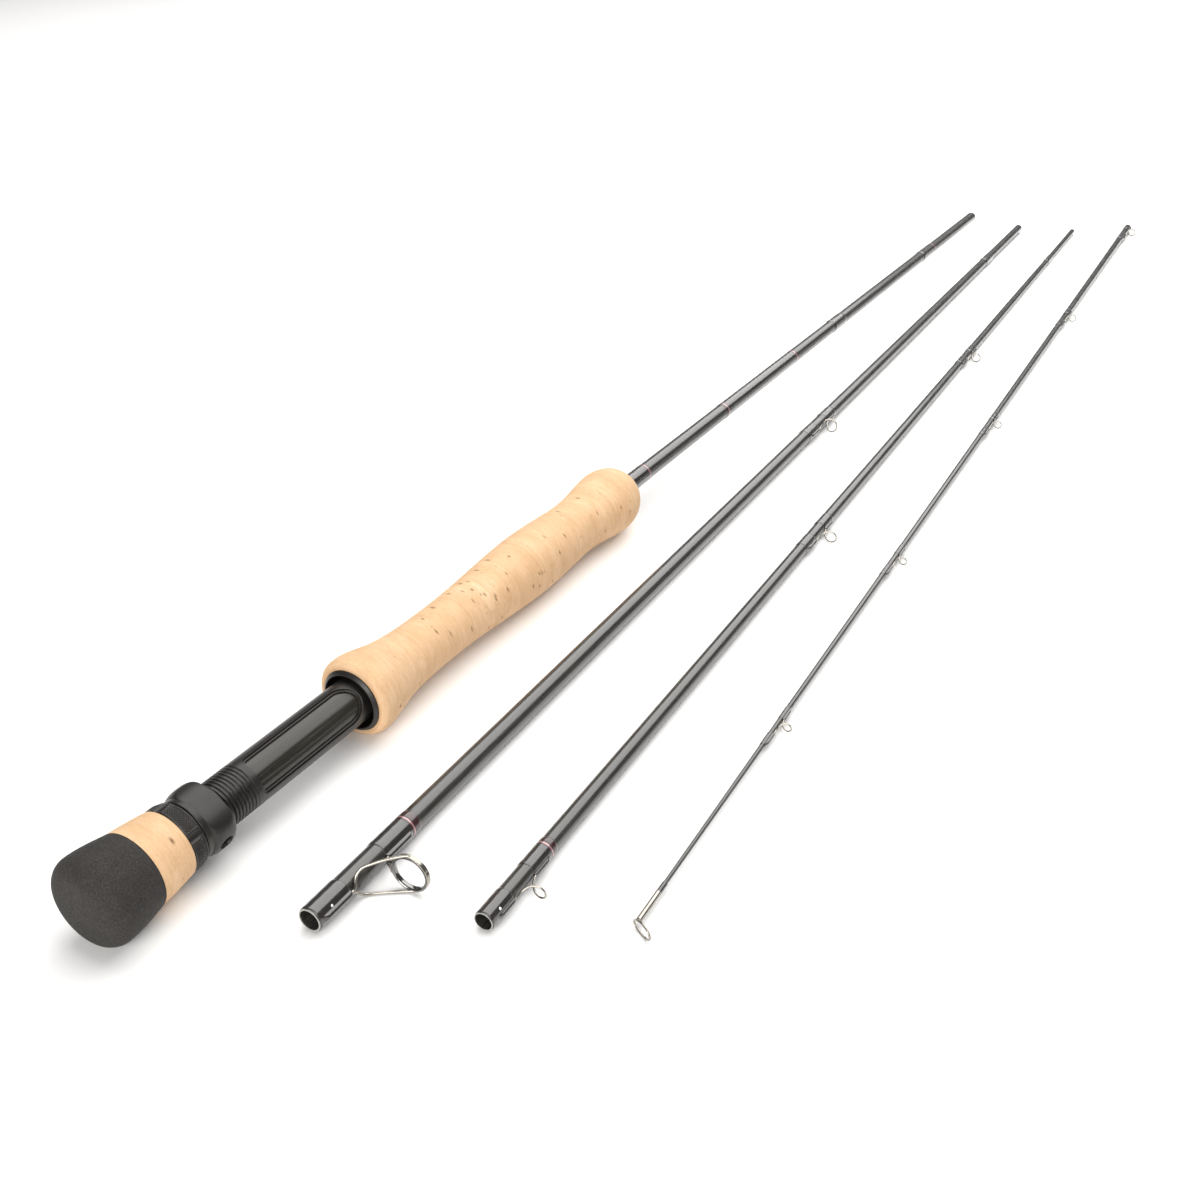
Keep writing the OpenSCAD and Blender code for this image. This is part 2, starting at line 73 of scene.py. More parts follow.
# ------------------------------------------------------------------ camera
cam = bpy.data.objects.new("camera", bpy.data.cameras.new("camera"))
bpy.context.scene.collection.objects.link(cam)
cam.data.sensor_width = 36
cam.data.lens = 40.5
cam.data.clip_start = 0.01
cam.data.clip_end = 60
cam.location = SHIFT + Vector((0.23773, -0.15237, 0.25499))
cam.rotation_euler = Vector((-0.43326, 0.73779, -0.51765)).to_track_quat("-Z", "Y").to_euler()
bpy.context.scene.camera = cam

# ------------------------------------------------------------------ meshes
rng = np.random.default_rng(7)


def finish_mesh(name, verts, faces, mat, n, body=None, nodes_=(), slot=None, angle=38, attrs=None, smooth=True):
    """A piece on section n from millimetre vertices in that section's own frame."""
    me = bpy.data.meshes.new(name)
    me.from_pydata(rolled(verts, n), [], faces)
    for key, val in (attrs or {}).items():
        a = me.attributes.new(key, "FLOAT", "POINT")
        a.data.foreach_set("value", np.asarray(val, np.float32))
    bm = bmesh.new()
    bm.from_mesh(me)
    bmesh.ops.recalc_face_normals(bm, faces=bm.faces)
    bm.to_mesh(me)
    bm.free()
    if smooth:
        me.shade_smooth()
        me.set_sharp_from_angle(angle=math.radians(angle))
    me.materials.append(mat)
    ob = bpy.data.objects.new(name, me)
    bpy.context.scene.collection.objects.link(ob)
    ob.matrix_world = M[n]
    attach(ob, body or BODY[n])
    if nodes_:
        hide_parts(*nodes_)
    return ob


def grid_faces(rows, cols, wrap_rows=False, wrap_cols=True, base=0):
    r = np.arange(rows if wrap_rows else rows - 1)
    c = np.arange(cols if wrap_cols else cols - 1)
    R, C = np.meshgrid(r, c, indexing="ij")
    R2, C2 = (R + 1) % rows, (C + 1) % cols
    f = np.stack([R * cols + C, R * cols + C2, R2 * cols + C2, R2 * cols + C], -1).reshape(-1, 4) + base
    return f.tolist()


def polar(R, S, theta):
    """Points from a radius grid R[row, col], stations S[row] and angles."""
    X = R * np.cos(theta)[None, :]
    Y = R * np.sin(theta)[None, :]
    Z = np.broadcast_to(np.asarray(S, float).reshape(len(R), -1), R.shape)
    return np.stack([X, Y, Z], -1)


def rounded(pts, q=0.15, steps=4, close=True):
    """A profile with its corners rounded off and a support point beside each."""
    pts = [np.array(p, float) for p in pts]
    out, m = [], len(pts)
    for i, p in enumerate(pts):
        if not close and i in (0, m - 1):
            out.append(p)
            continue
        a, b = pts[i - 1], pts[(i + 1) % m]
        da, db = a - p, b - p
        la, lb = np.linalg.norm(da), np.linalg.norm(db)
        cosv = np.clip(-(da @ db) / (la * lb), -1, 1)
        if math.degrees(math.acos(cosv)) < 10:
            out.append(p)
            continue
        d = min(q, 0.32 * la, 0.32 * lb)
        u, v = p + da / la * d, p + db / lb * d
        out.append(p + da / la * min(2.0 * d, 0.45 * la))
        for k in range(steps + 1):
            t = k / steps
            out.append((1 - t) ** 2 * u + 2 * t * (1 - t) * p + t * t * v)
        out.append(p + db / lb * min(2.0 * d, 0.45 * lb))
    return np.array(out)


def revolve(name, prof, mat, n, seg=96, close=True, **kw):
    """Body of revolution from (radius, station) points; close joins last to first."""
    prof = np.asarray(prof, float)
    th = np.arange(seg) * 2 * PI / seg
    verts, faces, rows = [], [], []
    for r, s in prof:
        if r < 1e-6:
            rows.append([len(verts)])
            verts.append((0, 0, s))
        else:
            rows.append(list(range(len(verts), len(verts) + seg)))
            verts.extend(zip(r * np.cos(th), r * np.sin(th), [s] * seg))
    m = len(rows)
    for i in range(m if close else m - 1):
        a, b = rows[i], rows[(i + 1) % m]
        if len(a) == 1 and len(b) == 1:
            continue
        for k in range(seg):
            k2 = (k + 1) % seg
            if len(a) == 1:
                faces.append((a[0], b[k2], b[k]))
            elif len(b) == 1:
                faces.append((a[k], a[k2], b[0]))
            else:
                faces.append((a[k], a[k2], b[k2], b[k]))
    return finish_mesh(name, verts, faces, mat, n, **kw)


def tube(path, r, sides=14, closed=False, flat=None, hint=(1, 0, 0)):
    """Swept round wire: vertices and faces. r may vary; round noses on open ends."""
    p = np.asarray(path, float)
    m = len(p)
    r = np.broadcast_to(np.asarray(r, float), (m,)).copy()
    if not closed:
        t0, t1 = p[0] - p[1], p[-1] - p[-2]
        t0, t1 = t0 / np.linalg.norm(t0), t1 / np.linalg.norm(t1)
        a = np.radians([80, 60, 40, 20])
        pre = [p[0] + t0 * r[0] * math.sin(x) for x in a]
        post = [p[-1] + t1 * r[-1] * math.sin(x) for x in a[::-1]]
        rr = list(r[0] * np.cos(a)) + list(r) + list(r[-1] * np.cos(a[::-1]))
        p = np.vstack([pre, p, post])
        r = np.array(rr)
        m = len(p)
    if closed:
        tan = np.roll(p, -1, 0) - np.roll(p, 1, 0)
    else:
        tan = np.gradient(p, axis=0)
        tan[:5], tan[-5:] = -t0, t1
    tan /= np.linalg.norm(tan, axis=1)[:, None]
    u = np.array(hint, float)
    U = []
    for t in tan:
        u = u - (u @ t) * t
        u /= np.linalg.norm(u)
        U.append(u)
    U = np.array(U)
    W = np.cross(tan, U)
    if closed:
        # share out the frame's twist so the ends meet
        u_end = U[-1] - (U[-1] @ tan[0]) * tan[0]
        ang = math.atan2(u_end @ W[0], u_end @ U[0])
        tw = -ang * np.arange(m) / m
        U, W = (U * np.cos(tw)[:, None] + W * np.sin(tw)[:, None]), (W * np.cos(tw)[:, None] - U * np.sin(tw)[:, None])
    a = np.arange(sides) * 2 * PI / sides
    V = p[:, None, :] + r[:, None, None] * (np.cos(a)[None, :, None] * U[:, None, :] + np.sin(a)[None, :, None] * W[:, None, :])
    faces = grid_faces(m, sides, wrap_rows=closed)
    if not closed:
        faces.append(list(range(sides))[::-1])
        faces.append(list(range((m - 1) * sides, m * sides)))
    return V.reshape(-1, 3), faces


def join(parts):
    """One vertex and face list from several."""
    vs, fs, base = [], [], 0
    for v, f in parts:
        vs.append(np.asarray(v, float))
        fs += [[i + base for i in q] for q in f]
        base += len(v)
    return np.vstack(vs), fs


def catmull(p, n, closed=False):
    p = np.asarray(p, float)
    m = len(p)
    out = []
    for i in range(m if closed else m - 1):
        g = (lambda k: p[k % m]) if closed else (lambda k: p[min(max(k, 0), m - 1)])
        a, b, c, d = g(i - 1), g(i), g(i + 1), g(i + 2)
        for k in range(n):
            t = k / n
            out.append(0.5 * (2 * b + (c - a) * t + (2 * a - 5 * b + 4 * c - d) * t * t + (3 * b - a - 3 * c + d) * t ** 3))
    if not closed:
        out.append(p[-1])
    return np.array(out)


# ------------------------------------------------------------------ radius tables, mm
T1 = np.array([[2, 3.95], [120, 3.85], [271, 3.56], [400, 3.32], [560, 3.12], [648, 3.02], [652, 2.97], [729, 2.97]], float)
T2 = np.array([[0, 3.56], [100, 3.45], [300, 3.12], [480, 2.8], [652, 2.5], [658, 2.42], [728.5, 2.42]], float)
T3 = np.array([[0, 2.85], [100, 2.66], [250, 2.48], [350, 2.25], [480, 1.98], [600, 1.8], [650, 1.68], [656, 1.62], [719.5, 1.62]], float)
T4 = np.array([[0.8, 0.6], [13, 0.62], [60, 0.74], [110, 0.95], [220, 1.2], [350, 1.43], [480, 1.66], [600, 1.86], [722.5, 2.1]], float)
TAB = [T1, T2, T3, T4]
GRIP = [[101.6, 11.3], [102.1, 12.3], [103.1, 13.05], [104.8, 13.4], [107.2, 13.35], [110, 12.95], [114, 12.05], [119, 11.0],
        [125, 10.2], [132, 9.75], [140, 9.55], [150, 9.55], [160, 9.85], [170, 10.4], [180, 11.05], [190, 11.6],
        [200, 11.85], [210, 11.6], [220, 11.05], [229, 10.65], [236, 10.8], [243, 11.45], [250, 12.4], [256, 12.95],
        [261, 12.5], [265, 11.1], [268, 8.9], [269.6, 6.6], [270.4, 4.6]]
GR = catmull(GRIP, 12)


def rad(n, s):
    return np.interp(s, TAB[n][:, 0], TAB[n][:, 1])


# ------------------------------------------------------------------ materials
def material(name):
    m = bpy.data.materials.new(name)
    m.use_nodes = True
    nt = m.node_tree
    nt.nodes.clear()
    out = nt.nodes.new("ShaderNodeOutputMaterial")
    sh = nt.nodes.new("ShaderNodeBsdfPrincipled")
    nt.links.new(sh.outputs[0], out.inputs[0])
    return m, nt, sh


class Net:
    """Short names for the nodes that the materials are made of."""

    def __init__(self, nt):
        self.nt = nt

    def put(self, kind, **kw):
        nd = self.nt.nodes.new(kind)
        for k, v in kw.items():
            setattr(nd, k, v)
        return nd

    def wire(self, a, b):
        self.nt.links.new(a, b)

    def coords(self, scale=(1, 1, 1)):
        tc = self.put("ShaderNodeTexCoord")
        mp = self.put("ShaderNodeMapping")
        mp.inputs["Scale"].default_value = scale
        self.wire(tc.outputs["Object"], mp.inputs["Vector"])
        return mp.outputs[0]

    def noise(self, vec, scale, detail=4, rough=0.55, distort=0.0):
        nd = self.put("ShaderNodeTexNoise")
        nd.inputs["Scale"].default_value = scale
        nd.inputs["Detail"].default_value = detail
        nd.inputs["Roughness"].default_value = rough
        nd.inputs["Distortion"].default_value = distort
        self.wire(vec, nd.inputs["Vector"])
        return nd.outputs["Fac"]

    def voronoi(self, vec, scale, feature="F1", rand=1.0):
        nd = self.put("ShaderNodeTexVoronoi", feature=feature)
        nd.inputs["Scale"].default_value = scale
        nd.inputs["Randomness"].default_value = rand
        self.wire(vec, nd.inputs["Vector"])
        return nd.outputs["Distance"]

    def ramp(self, fac, stops, interp="LINEAR"):
        nd = self.put("ShaderNodeValToRGB")
        nd.color_ramp.interpolation = interp
        el = nd.color_ramp.elements
        while len(el) < len(stops):
            el.new(0.5)
        for e, (pos, col) in zip(el, stops):
            e.position = pos
            e.color = (*col, 1) if len(col) == 3 else col
        self.wire(fac, nd.inputs[0])
        return nd.outputs[0]

    def grey(self, fac, stops):
        return self.ramp(fac, [(p, (v, v, v)) for p, v in stops])

    def mix(self, fac, a, b, mode="MIX"):
        nd = self.put("ShaderNodeMix", data_type="RGBA", blend_type=mode)
        for sock, v in ((nd.inputs[0], fac), (nd.inputs[6], a), (nd.inputs[7], b)):
            if isinstance(v, (int, float)):
                sock.default_value = v
            elif isinstance(v, tuple):
                sock.default_value = (*v, 1)
            else:
                self.wire(v, sock)
        return nd.outputs[2]

    def math(self, op, a, b=None, c=None, clamp=False):
        nd = self.put("ShaderNodeMath", operation=op, use_clamp=clamp)
        for i, v in enumerate((a, b, c)):
            if v is None:
                continue
            if isinstance(v, (int, float)):
                nd.inputs[i].default_value = v
            else:
                self.wire(v, nd.inputs[i])
        return nd.outputs[0]

    def z(self):
        tc = self.put("ShaderNodeTexCoord")
        sp = self.put("ShaderNodeSeparateXYZ")
        self.wire(tc.outputs["Object"], sp.inputs[0])
        return sp.outputs

    def attr(self, name):
        nd = self.put("ShaderNodeAttribute", attribute_name=name)
        return nd.outputs["Fac"]

    def bump(self, height, strength, distance, sh, normal=None):
        nd = self.put("ShaderNodeBump")
        nd.inputs["Strength"].default_value = strength
        nd.inputs["Distance"].default_value = distance
        self.wire(height, nd.inputs["Height"])
        if normal is not None:
            self.wire(normal, nd.inputs["Normal"])
        if sh is not None:
            self.wire(nd.outputs[0], sh.inputs["Normal"])
        return nd.outputs[0]


def cork_material():
    m, nt, sh = material("cork")
    k = Net(nt)
    ring = 0.0129846
    z = k.z()[2]
    idx = k.math("FLOOR", k.math("DIVIDE", k.math("SUBTRACT", z, 0.1016), ring))
    wn = k.put("ShaderNodeTexWhiteNoise", noise_dimensions="1D")
    k.wire(idx, wn.inputs["W"])
    tone = wn.outputs["Value"]
    broad = k.noise(k.coords((1, 1, 1.6)), 95, 3)
    band = k.noise(k.coords((1, 1, 9)), 110, 3, 0.6, 0.6)
    grain = k.noise(k.coords((1, 1, 2.4)), 900, 4, 0.6)
    base = k.ramp(broad, [(0.30, (0.60, 0.365, 0.19)), (0.55, (0.70, 0.46, 0.262)), (0.75, (0.77, 0.54, 0.335))])
    base = k.mix(k.grey(band, [(0.42, 0.0), (0.70, 0.55)]), base, (0.52, 0.305, 0.15))
    base = k.mix(k.grey(grain, [(0.35, 0.0), (0.70, 0.35)]), base, (0.83, 0.62, 0.42))
    base = k.mix(k.math("MULTIPLY", tone, 0.30), base, (0.60, 0.36, 0.185))
    fleck = k.noise(k.coords((1, 1, 2.6)), 520, 5, 0.75, 0.4)
    flecks = k.grey(fleck, [(0.655, 0.0), (0.72, 0.75)])
    patch = k.grey(k.noise(k.coords(), 70, 2), [(0.45, 0.0), (0.6, 1.0)])
    base = k.mix(k.math("MULTIPLY", flecks, patch), base, (0.26, 0.135, 0.055))
    pit = k.attr("pit")
    base = k.mix(pit, base, (0.20, 0.10, 0.04))
    # glue lines between the rings
    fr = k.math("FRACT", k.math("DIVIDE", k.math("SUBTRACT", z, 0.1016), ring))
    edge = k.math("MINIMUM", fr, k.math("SUBTRACT", 1.0, fr))
    line = k.grey(edge, [(0.0, 0.45), (0.014, 0.0)])
    base = k.mix(line, base, (0.50, 0.29, 0.14))
    k.wire(base, sh.inputs["Base Color"])
    k.wire(k.grey(grain, [(0.3, 0.62), (0.7, 0.78)]), sh.inputs["Roughness"])
    sh.inputs["Specular IOR Level"].default_value = 0.32
    sh.inputs["Subsurface Weight"].default_value = 0.0
    h = k.math("SUBTRACT", grain, k.math("MULTIPLY", flecks, 1.2))
    k.bump(h, 0.35, 0.00012, sh)
    return m


def foam_material():
    m, nt, sh = material("foam")
    k = Net(nt)
    a = k.noise(k.coords(), 2600, 3, 0.7)
    b = k.noise(k.coords(), 260, 4, 0.6)
    col = k.ramp(a, [(0.30, (0.011, 0.0095, 0.0085)), (0.52, (0.019, 0.0165, 0.0146)), (0.74, (0.050, 0.0445, 0.040))])
    col = k.mix(k.grey(b, [(0.35, 0.0), (0.75, 0.30)]), col, (0.040, 0.035, 0.031))
    k.wire(col, sh.inputs["Base Color"])
    k.wire(k.grey(a, [(0.3, 0.88), (0.7, 0.70)]), sh.inputs["Roughness"])
    sh.inputs["Specular IOR Level"].default_value = 0.45
    k.bump(a, 0.6, 0.00012, sh)
    return m


def metal_black(name="anodised_aluminium", rough=0.34, tone=0.46):
    m, nt, sh = material(name)
    k = Net(nt)
    a = k.noise(k.coords(), 5200, 2, 0.6)
    b = k.noise(k.coords((1, 1, 0.35)), 240, 3, 0.5)
    col = k.ramp(b, [(0.3, (0.031 * tone, 0.027 * tone, 0.0235 * tone)), (0.7, (0.052 * tone, 0.046 * tone, 0.041 * tone))])
    k.wire(col, sh.inputs["Base Color"])
    sh.inputs["Metallic"].default_value = 0.25
    k.wire(k.grey(a, [(0.25, rough - 0.05), (0.75, rough + 0.08)]), sh.inputs["Roughness"])
    sh.inputs["Specular IOR Level"].default_value = 0.48
    k.bump(a, 0.10, 0.00002, sh)
    return m


def graphite(name="graphite_blank", rough=0.26, tint=(0.017, 0.0165, 0.0145)):
    m, nt, sh = material(name)
    k = Net(nt)
    fine = k.noise(k.coords((1, 1, 0.05)), 1900, 3, 0.6)
    slow = k.noise(k.coords((1, 1, 0.12)), 150, 3, 0.5)
    t = tint
    col = k.ramp(fine, [(0.3, tuple(0.65 * v for v in t)), (0.7, tuple(1.45 * v for v in t))])
    col = k.mix(k.grey(slow, [(0.4, 0.0), (0.75, 0.5)]), col, (0.026, 0.0225, 0.015))
    k.wire(col, sh.inputs["Base Color"])
    k.wire(k.grey(fine, [(0.3, rough - 0.04), (0.7, rough + 0.09)]), sh.inputs["Roughness"])
    sh.inputs["Specular IOR Level"].default_value = 0.75
    sh.inputs["Coat Weight"].default_value = 0.55
    sh.inputs["Coat Roughness"].default_value = 0.10
    k.bump(slow, 0.10, 0.00005, sh)
    return m


def carbon_insert():
    m, nt, sh = material("carbon_insert")
    k = Net(nt)
    streak = k.noise(k.coords((1, 1, 0.02)), 1500, 4, 0.65)
    col = k.ramp(streak, [(0.35, (0.010, 0.010, 0.008)), (0.6, (0.026, 0.025, 0.019)), (0.75, (0.055, 0.052, 0.036))])
    k.wire(col, sh.inputs["Base Color"])
    k.wire(k.grey(streak, [(0.3, 0.22), (0.7, 0.34)]), sh.inputs["Roughness"])
    sh.inputs["Specular IOR Level"].default_value = 0.35
    sh.inputs["Coat Weight"].default_value = 0.25
    sh.inputs["Coat Roughness"].default_value = 0.12
    return m


def wrap_material():
    m, nt, sh = material("epoxied_wrap")
    k = Net(nt)
    z = k.z()[2]
    thread = k.math("SINE", k.math("MULTIPLY", z, 2 * PI / 0.00018))
    uneven = k.noise(k.coords((1, 1, 0.6)), 420, 3, 0.55)
    col = k.ramp(thread, [(0.0, (0.010, 0.0085, 0.0085)), (1.0, (0.024, 0.020, 0.019))])
    col = k.mix(k.grey(uneven, [(0.4, 0.0), (0.75, 0.6)]), col, (0.020, 0.013, 0.013))
    k.wire(col, sh.inputs["Base Color"])
    k.wire(k.grey(uneven, [(0.3, 0.16), (0.7, 0.26)]), sh.inputs["Roughness"])
    sh.inputs["Specular IOR Level"].default_value = 0.6
    sh.inputs["Coat Weight"].default_value = 1.0
    sh.inputs["Coat Roughness"].default_value = 0.035
    n1 = k.bump(thread, 0.25, 0.00002, sh)
    n2 = k.bump(uneven, 0.18, 0.00010, None)
    k.wire(n2, sh.inputs["Coat Normal"])
    return m


def trim_material():
    """Dark red thread under epoxy, with one metallic turn where the attribute says."""
    m, nt, sh = material("trim_thread")
    k = Net(nt)
    z = k.z()[2]
    thread = k.math("SINE", k.math("MULTIPLY", z, 2 * PI / 0.0002))
    red = k.ramp(thread, [(0.0, (0.016, 0.0025, 0.0035)), (1.0, (0.046, 0.006, 0.008))])
    line = k.attr("line")
    col = k.mix(line, red, (0.62, 0.34, 0.35))
    k.wire(col, sh.inputs["Base Color"])
    k.wire(k.grey(line, [(0.0, 0.0), (1.0, 0.6)]), sh.inputs["Metallic"])
    k.wire(k.grey(thread, [(0.0, 0.34), (1.0, 0.24)]), sh.inputs["Roughness"])
    sh.inputs["Coat Weight"].default_value = 1.0
    sh.inputs["Coat Roughness"].default_value = 0.035
    n2 = k.bump(k.noise(k.coords((1, 1, 0.6)), 420, 3, 0.55), 0.15, 0.0001, None)
    k.wire(n2, sh.inputs["Coat Normal"])
    return m


def wire_material(name="guide_wire", tint=(0.40, 0.375, 0.335), rough=0.19):
    m, nt, sh = material(name)
    k = Net(nt)
    a = k.noise(k.coords(), 1400, 4, 0.65)
    b = k.noise(k.coords(), 260, 3, 0.5)
    col = k.ramp(b, [(0.3, tuple(0.82 * v for v in tint)), (0.7, tint)])
    k.wire(col, sh.inputs["Base Color"])
    sh.inputs["Metallic"].default_value = 1.0
    k.wire(k.grey(a, [(0.3, rough - 0.05), (0.7, rough + 0.10)]), sh.inputs["Roughness"])
    k.bump(a, 0.08, 0.00002, sh)
    return m


def plain(name, c0, c1, scale, r0, r1, spec=0.5, bump=0.2, dist=0.00005, stretch=(1, 1, 1), coat=0.0):
    m, nt, sh = material(name)
    k = Net(nt)
    a = k.noise(k.coords(stretch), scale, 4, 0.6)
    k.wire(k.ramp(a, [(0.3, c0), (0.7, c1)]), sh.inputs["Base Color"])
    k.wire(k.grey(a, [(0.3, r0), (0.7, r1)]), sh.inputs["Roughness"])
    sh.inputs["Specular IOR Level"].default_value = spec
    if coat:
        sh.inputs["Coat Weight"].default_value = coat
        sh.inputs["Coat Roughness"].default_value = 0.05
    k.bump(a, bump, dist, sh)
    return m


CORK = cork_material()
FOAM = foam_material()
ALU = metal_black()
GRAPHITE = graphite()
CARBON = carbon_insert()
WRAP = wrap_material()
TRIM = trim_material()
WIRE = wire_material()
RING = wire_material("ceramic_ring", (0.24, 0.235, 0.23), 0.12)
WASHER = plain("nylon_washer", (0.012, 0.012, 0.012), (0.03, 0.03, 0.03), 1500, 0.5, 0.7)
ARBOR = plain("arbor_tape", (0.55, 0.46, 0.30), (0.70, 0.60, 0.42), 900, 0.75, 0.9, 0.3, 0.5, 0.0001, (1, 1, 0.2))
DOT = plain("dot_paint", (0.80, 0.80, 0.77), (0.92, 0.92, 0.90), 2500, 0.25, 0.35, 0.5, 0.05, 0.00002, coat=0.6)
RIM = plain("cut_edge", (0.20, 0.195, 0.18), (0.42, 0.41, 0.38), 2200, 0.35, 0.55, 0.5, 0.2, 0.00003)

# ------------------------------------------------------------------ fighting butt
cap = [(0, -4.1), (5.0, -4.1)] + [(8.3 + 5.2 * math.cos(q), 1.1 + 5.2 * math.sin(q)) for q in np.radians(np.linspace(-82, 0, 22))] + [
       (13.49, 2.2), (13.38, 3.8), (13.2, 5.5), (12.95, 7.3), (12.65, 9.1), (12.32, 10.8), (12.07, 12.2), (11.99, 12.65),
       (11.94, 13.0), (11.85, 13.16), (11.7, 13.2), (9, 13.2), (4.05, 13.2), (4.05, 12), (4.05, 1.4), (3.8, 1.4), (0, 1.4)]
revolve("foam_cap", cap, FOAM, 0, seg=144, nodes_=("foam_butt_cap",), slot="foam", close=False)


def cork_piece(name, outer, inner_r, a, b, node, pits, seg=240, step=0.36, chamfer=0.06):
    """A pitted cork ring: outer(s) gives the radius, pits are (angle, station, length, width, depth)."""
    rows = max(4, int(round((b - a) / step)))
    S = np.linspace(a, b, rows + 1)
    th = np.arange(seg) * 2 * PI / seg
    R0 = outer(S)
    R = np.repeat(R0[:, None], seg, 1)
    pit = np.zeros_like(R)
    for ang, s0, lu, ls, dp in pits:
        du = ((th[None, :] - ang + PI) % (2 * PI) - PI) * R
        d2 = (du / lu) ** 2 + ((S[:, None] - s0) / ls) ** 2
        f = np.exp(-d2 * 1.6)
        f[d2 > 5] = 0
        pit = np.maximum(pit, np.clip(f * 1.25 - 0.12, 0, 1) * min(1.0, dp / 0.22))
        R = R - dp * f
    # the faintest turned waviness
    R = R + 0.012 * np.sin(S[:, None] * 3.1 + 2.0 * np.sin(th)[None, :])
    R[0] -= chamfer
    R[-1] -= chamfer
    ri_a, ri_b = inner_r(a), inner_r(b)
    end_a = [np.full(seg, ri_a), np.full(seg, (ri_a + R0[0]) / 2), R[0] - 0.25]
    end_b = [R[-1] - 0.25, np.full(seg, (ri_b + R0[-1]) / 2), np.full(seg, ri_b)]
    RR = np.vstack([end_a, R, end_b])
    SS = np.concatenate([[a] * 3, S, [b] * 3])
    P = polar(RR, SS, th)
    pa = np.vstack([np.zeros((3, seg)), pit, np.zeros((3, seg))]).reshape(-1)
    return finish_mesh(name, P.reshape(-1, 3), grid_faces(len(RR), seg, wrap_rows=True), CORK, 0,
                       nodes_=(node,), slot="cork", attrs={"pit": pa}, angle=50)


def pits_for(a, b, r, count, big):
    out = []
    for _ in range(count):
        ang, s = rng.uniform(0, 2 * PI), rng.uniform(a + 0.3, b - 0.3)
        if rng.random() < big:
            out.append((ang, s, rng.uniform(0.7, 1.6), rng.uniform(0.32, 0.6), rng.uniform(0.16, 0.30)))
        else:
            out.append((ang, s, rng.uniform(0.3, 0.7), rng.uniform(0.2, 0.34), rng.uniform(0.06, 0.16)))
    return out


cb_s = [13.23, 17.6, 21.8, 25.1]
cb_r = [11.88, 11.5, 10.95, 10.5]
cork_piece("cork_collar", lambda s: np.interp(s, cb_s, cb_r), lambda s: 7.52, 13.26, 25.1, "cork_butt_ring", pits_for(14, 25, 11, 14, 0.15))

RING_LEN = (270.4 - 101.6) / 13
PITTED = [0.1, 0.1, 0.3, 0.6, 0.9, 0.55, 0.3, 0.5, 0.15, 0.2, 0.3, 0.2, 0.1]
for i in range(13):
    a = 101.6 + i * RING_LEN + (0.02 if i else 0)
    b = 101.6 + (i + 1) * RING_LEN - (0.02 if i < 12 else 0)
    bore = (lambda s: 10.64 if s < 118.03 else rad(0, s) + 0.03)
    name = "grip_ring_%02d" % (i + 1)
    if i == 0 or i == 12:
        # end rings: finer steps where the outline turns, the first one open for the hood
        outline = GR[(GR[:, 0] >= a - 1e-6) & (GR[:, 0] <= b + 1e-6)]
        if i == 0:
            ss = np.concatenate([outline[outline[:, 0] < 105.5][:, 0], np.arange(105.8, b, 0.36), [b]])
        else:
            ss = np.concatenate([np.arange(a, 264, 0.36), outline[outline[:, 0] > 264][:, 0]])
        ss = np.unique(np.round(ss, 5))
        seg = 240
        th = np.arange(seg) * 2 * PI / seg
        R = np.repeat(np.interp(ss, GR[:, 0], GR[:, 1])[:, None], seg, 1)
        pit = np.zeros_like(R)
        for ang, s0, lu, ls, dp in pits_for(a + (4 if i == 0 else 0), b - (5 if i == 12 else 0), 12, 9, PITTED[i]):
            du = ((th[None, :] - ang + PI) % (2 * PI) - PI) * R
            f = np.exp(-((du / lu) ** 2 + ((ss[:, None] - s0) / ls) ** 2) * 1.6)
            f[f < 0.002] = 0
            pit = np.maximum(pit, np.clip(f * 1.25 - 0.12, 0, 1) * min(1.0, dp / 0.22))
            R = R - dp * f
        if i == 0:
            pre = [np.full(seg, 10.64), np.full(seg, 10.64), np.full(seg, 10.95), np.full(seg, 11.15)]
            sp = [ss[0] + 0.2, ss[0] + 0.02, ss[0], ss[0]]
            post, sq = [np.full(seg, 11.2), np.full(seg, 10.64)], [b, b]
        else:
            pre, sp = [np.full(seg, bore(a)), np.full(seg, 8.0)], [a, a]
            post, sq = [np.full(seg, bore(b) + 0.3), np.full(seg, bore(b))], [b, b]
        RR = np.vstack(pre + [R] + post)
        SS = np.concatenate([sp, ss, sq])
        pa = np.vstack([np.zeros((len(pre), seg)), pit, np.zeros((len(post), seg))]).reshape(-1)
        finish_mesh(name + "_cork", polar(RR, SS, th).reshape(-1, 3), grid_faces(len(RR), seg, wrap_rows=True), CORK, 0,
                    nodes_=(name,), slot="cork", attrs={"pit": pa}, angle=60)
    else:
        cork_piece(name + "_cork", lambda s: np.interp(s, GR[:, 0], GR[:, 1]), bore, a, b, name,
                   pits_for(a, b, 11, int(8 + 34 * PITTED[i]), 0.12 + 0.5 * PITTED[i]), chamfer=0.012)

# ------------------------------------------------------------------ reel seat
BR, BI = 7.5, 6.55
S_END = (16.1, 115.0)


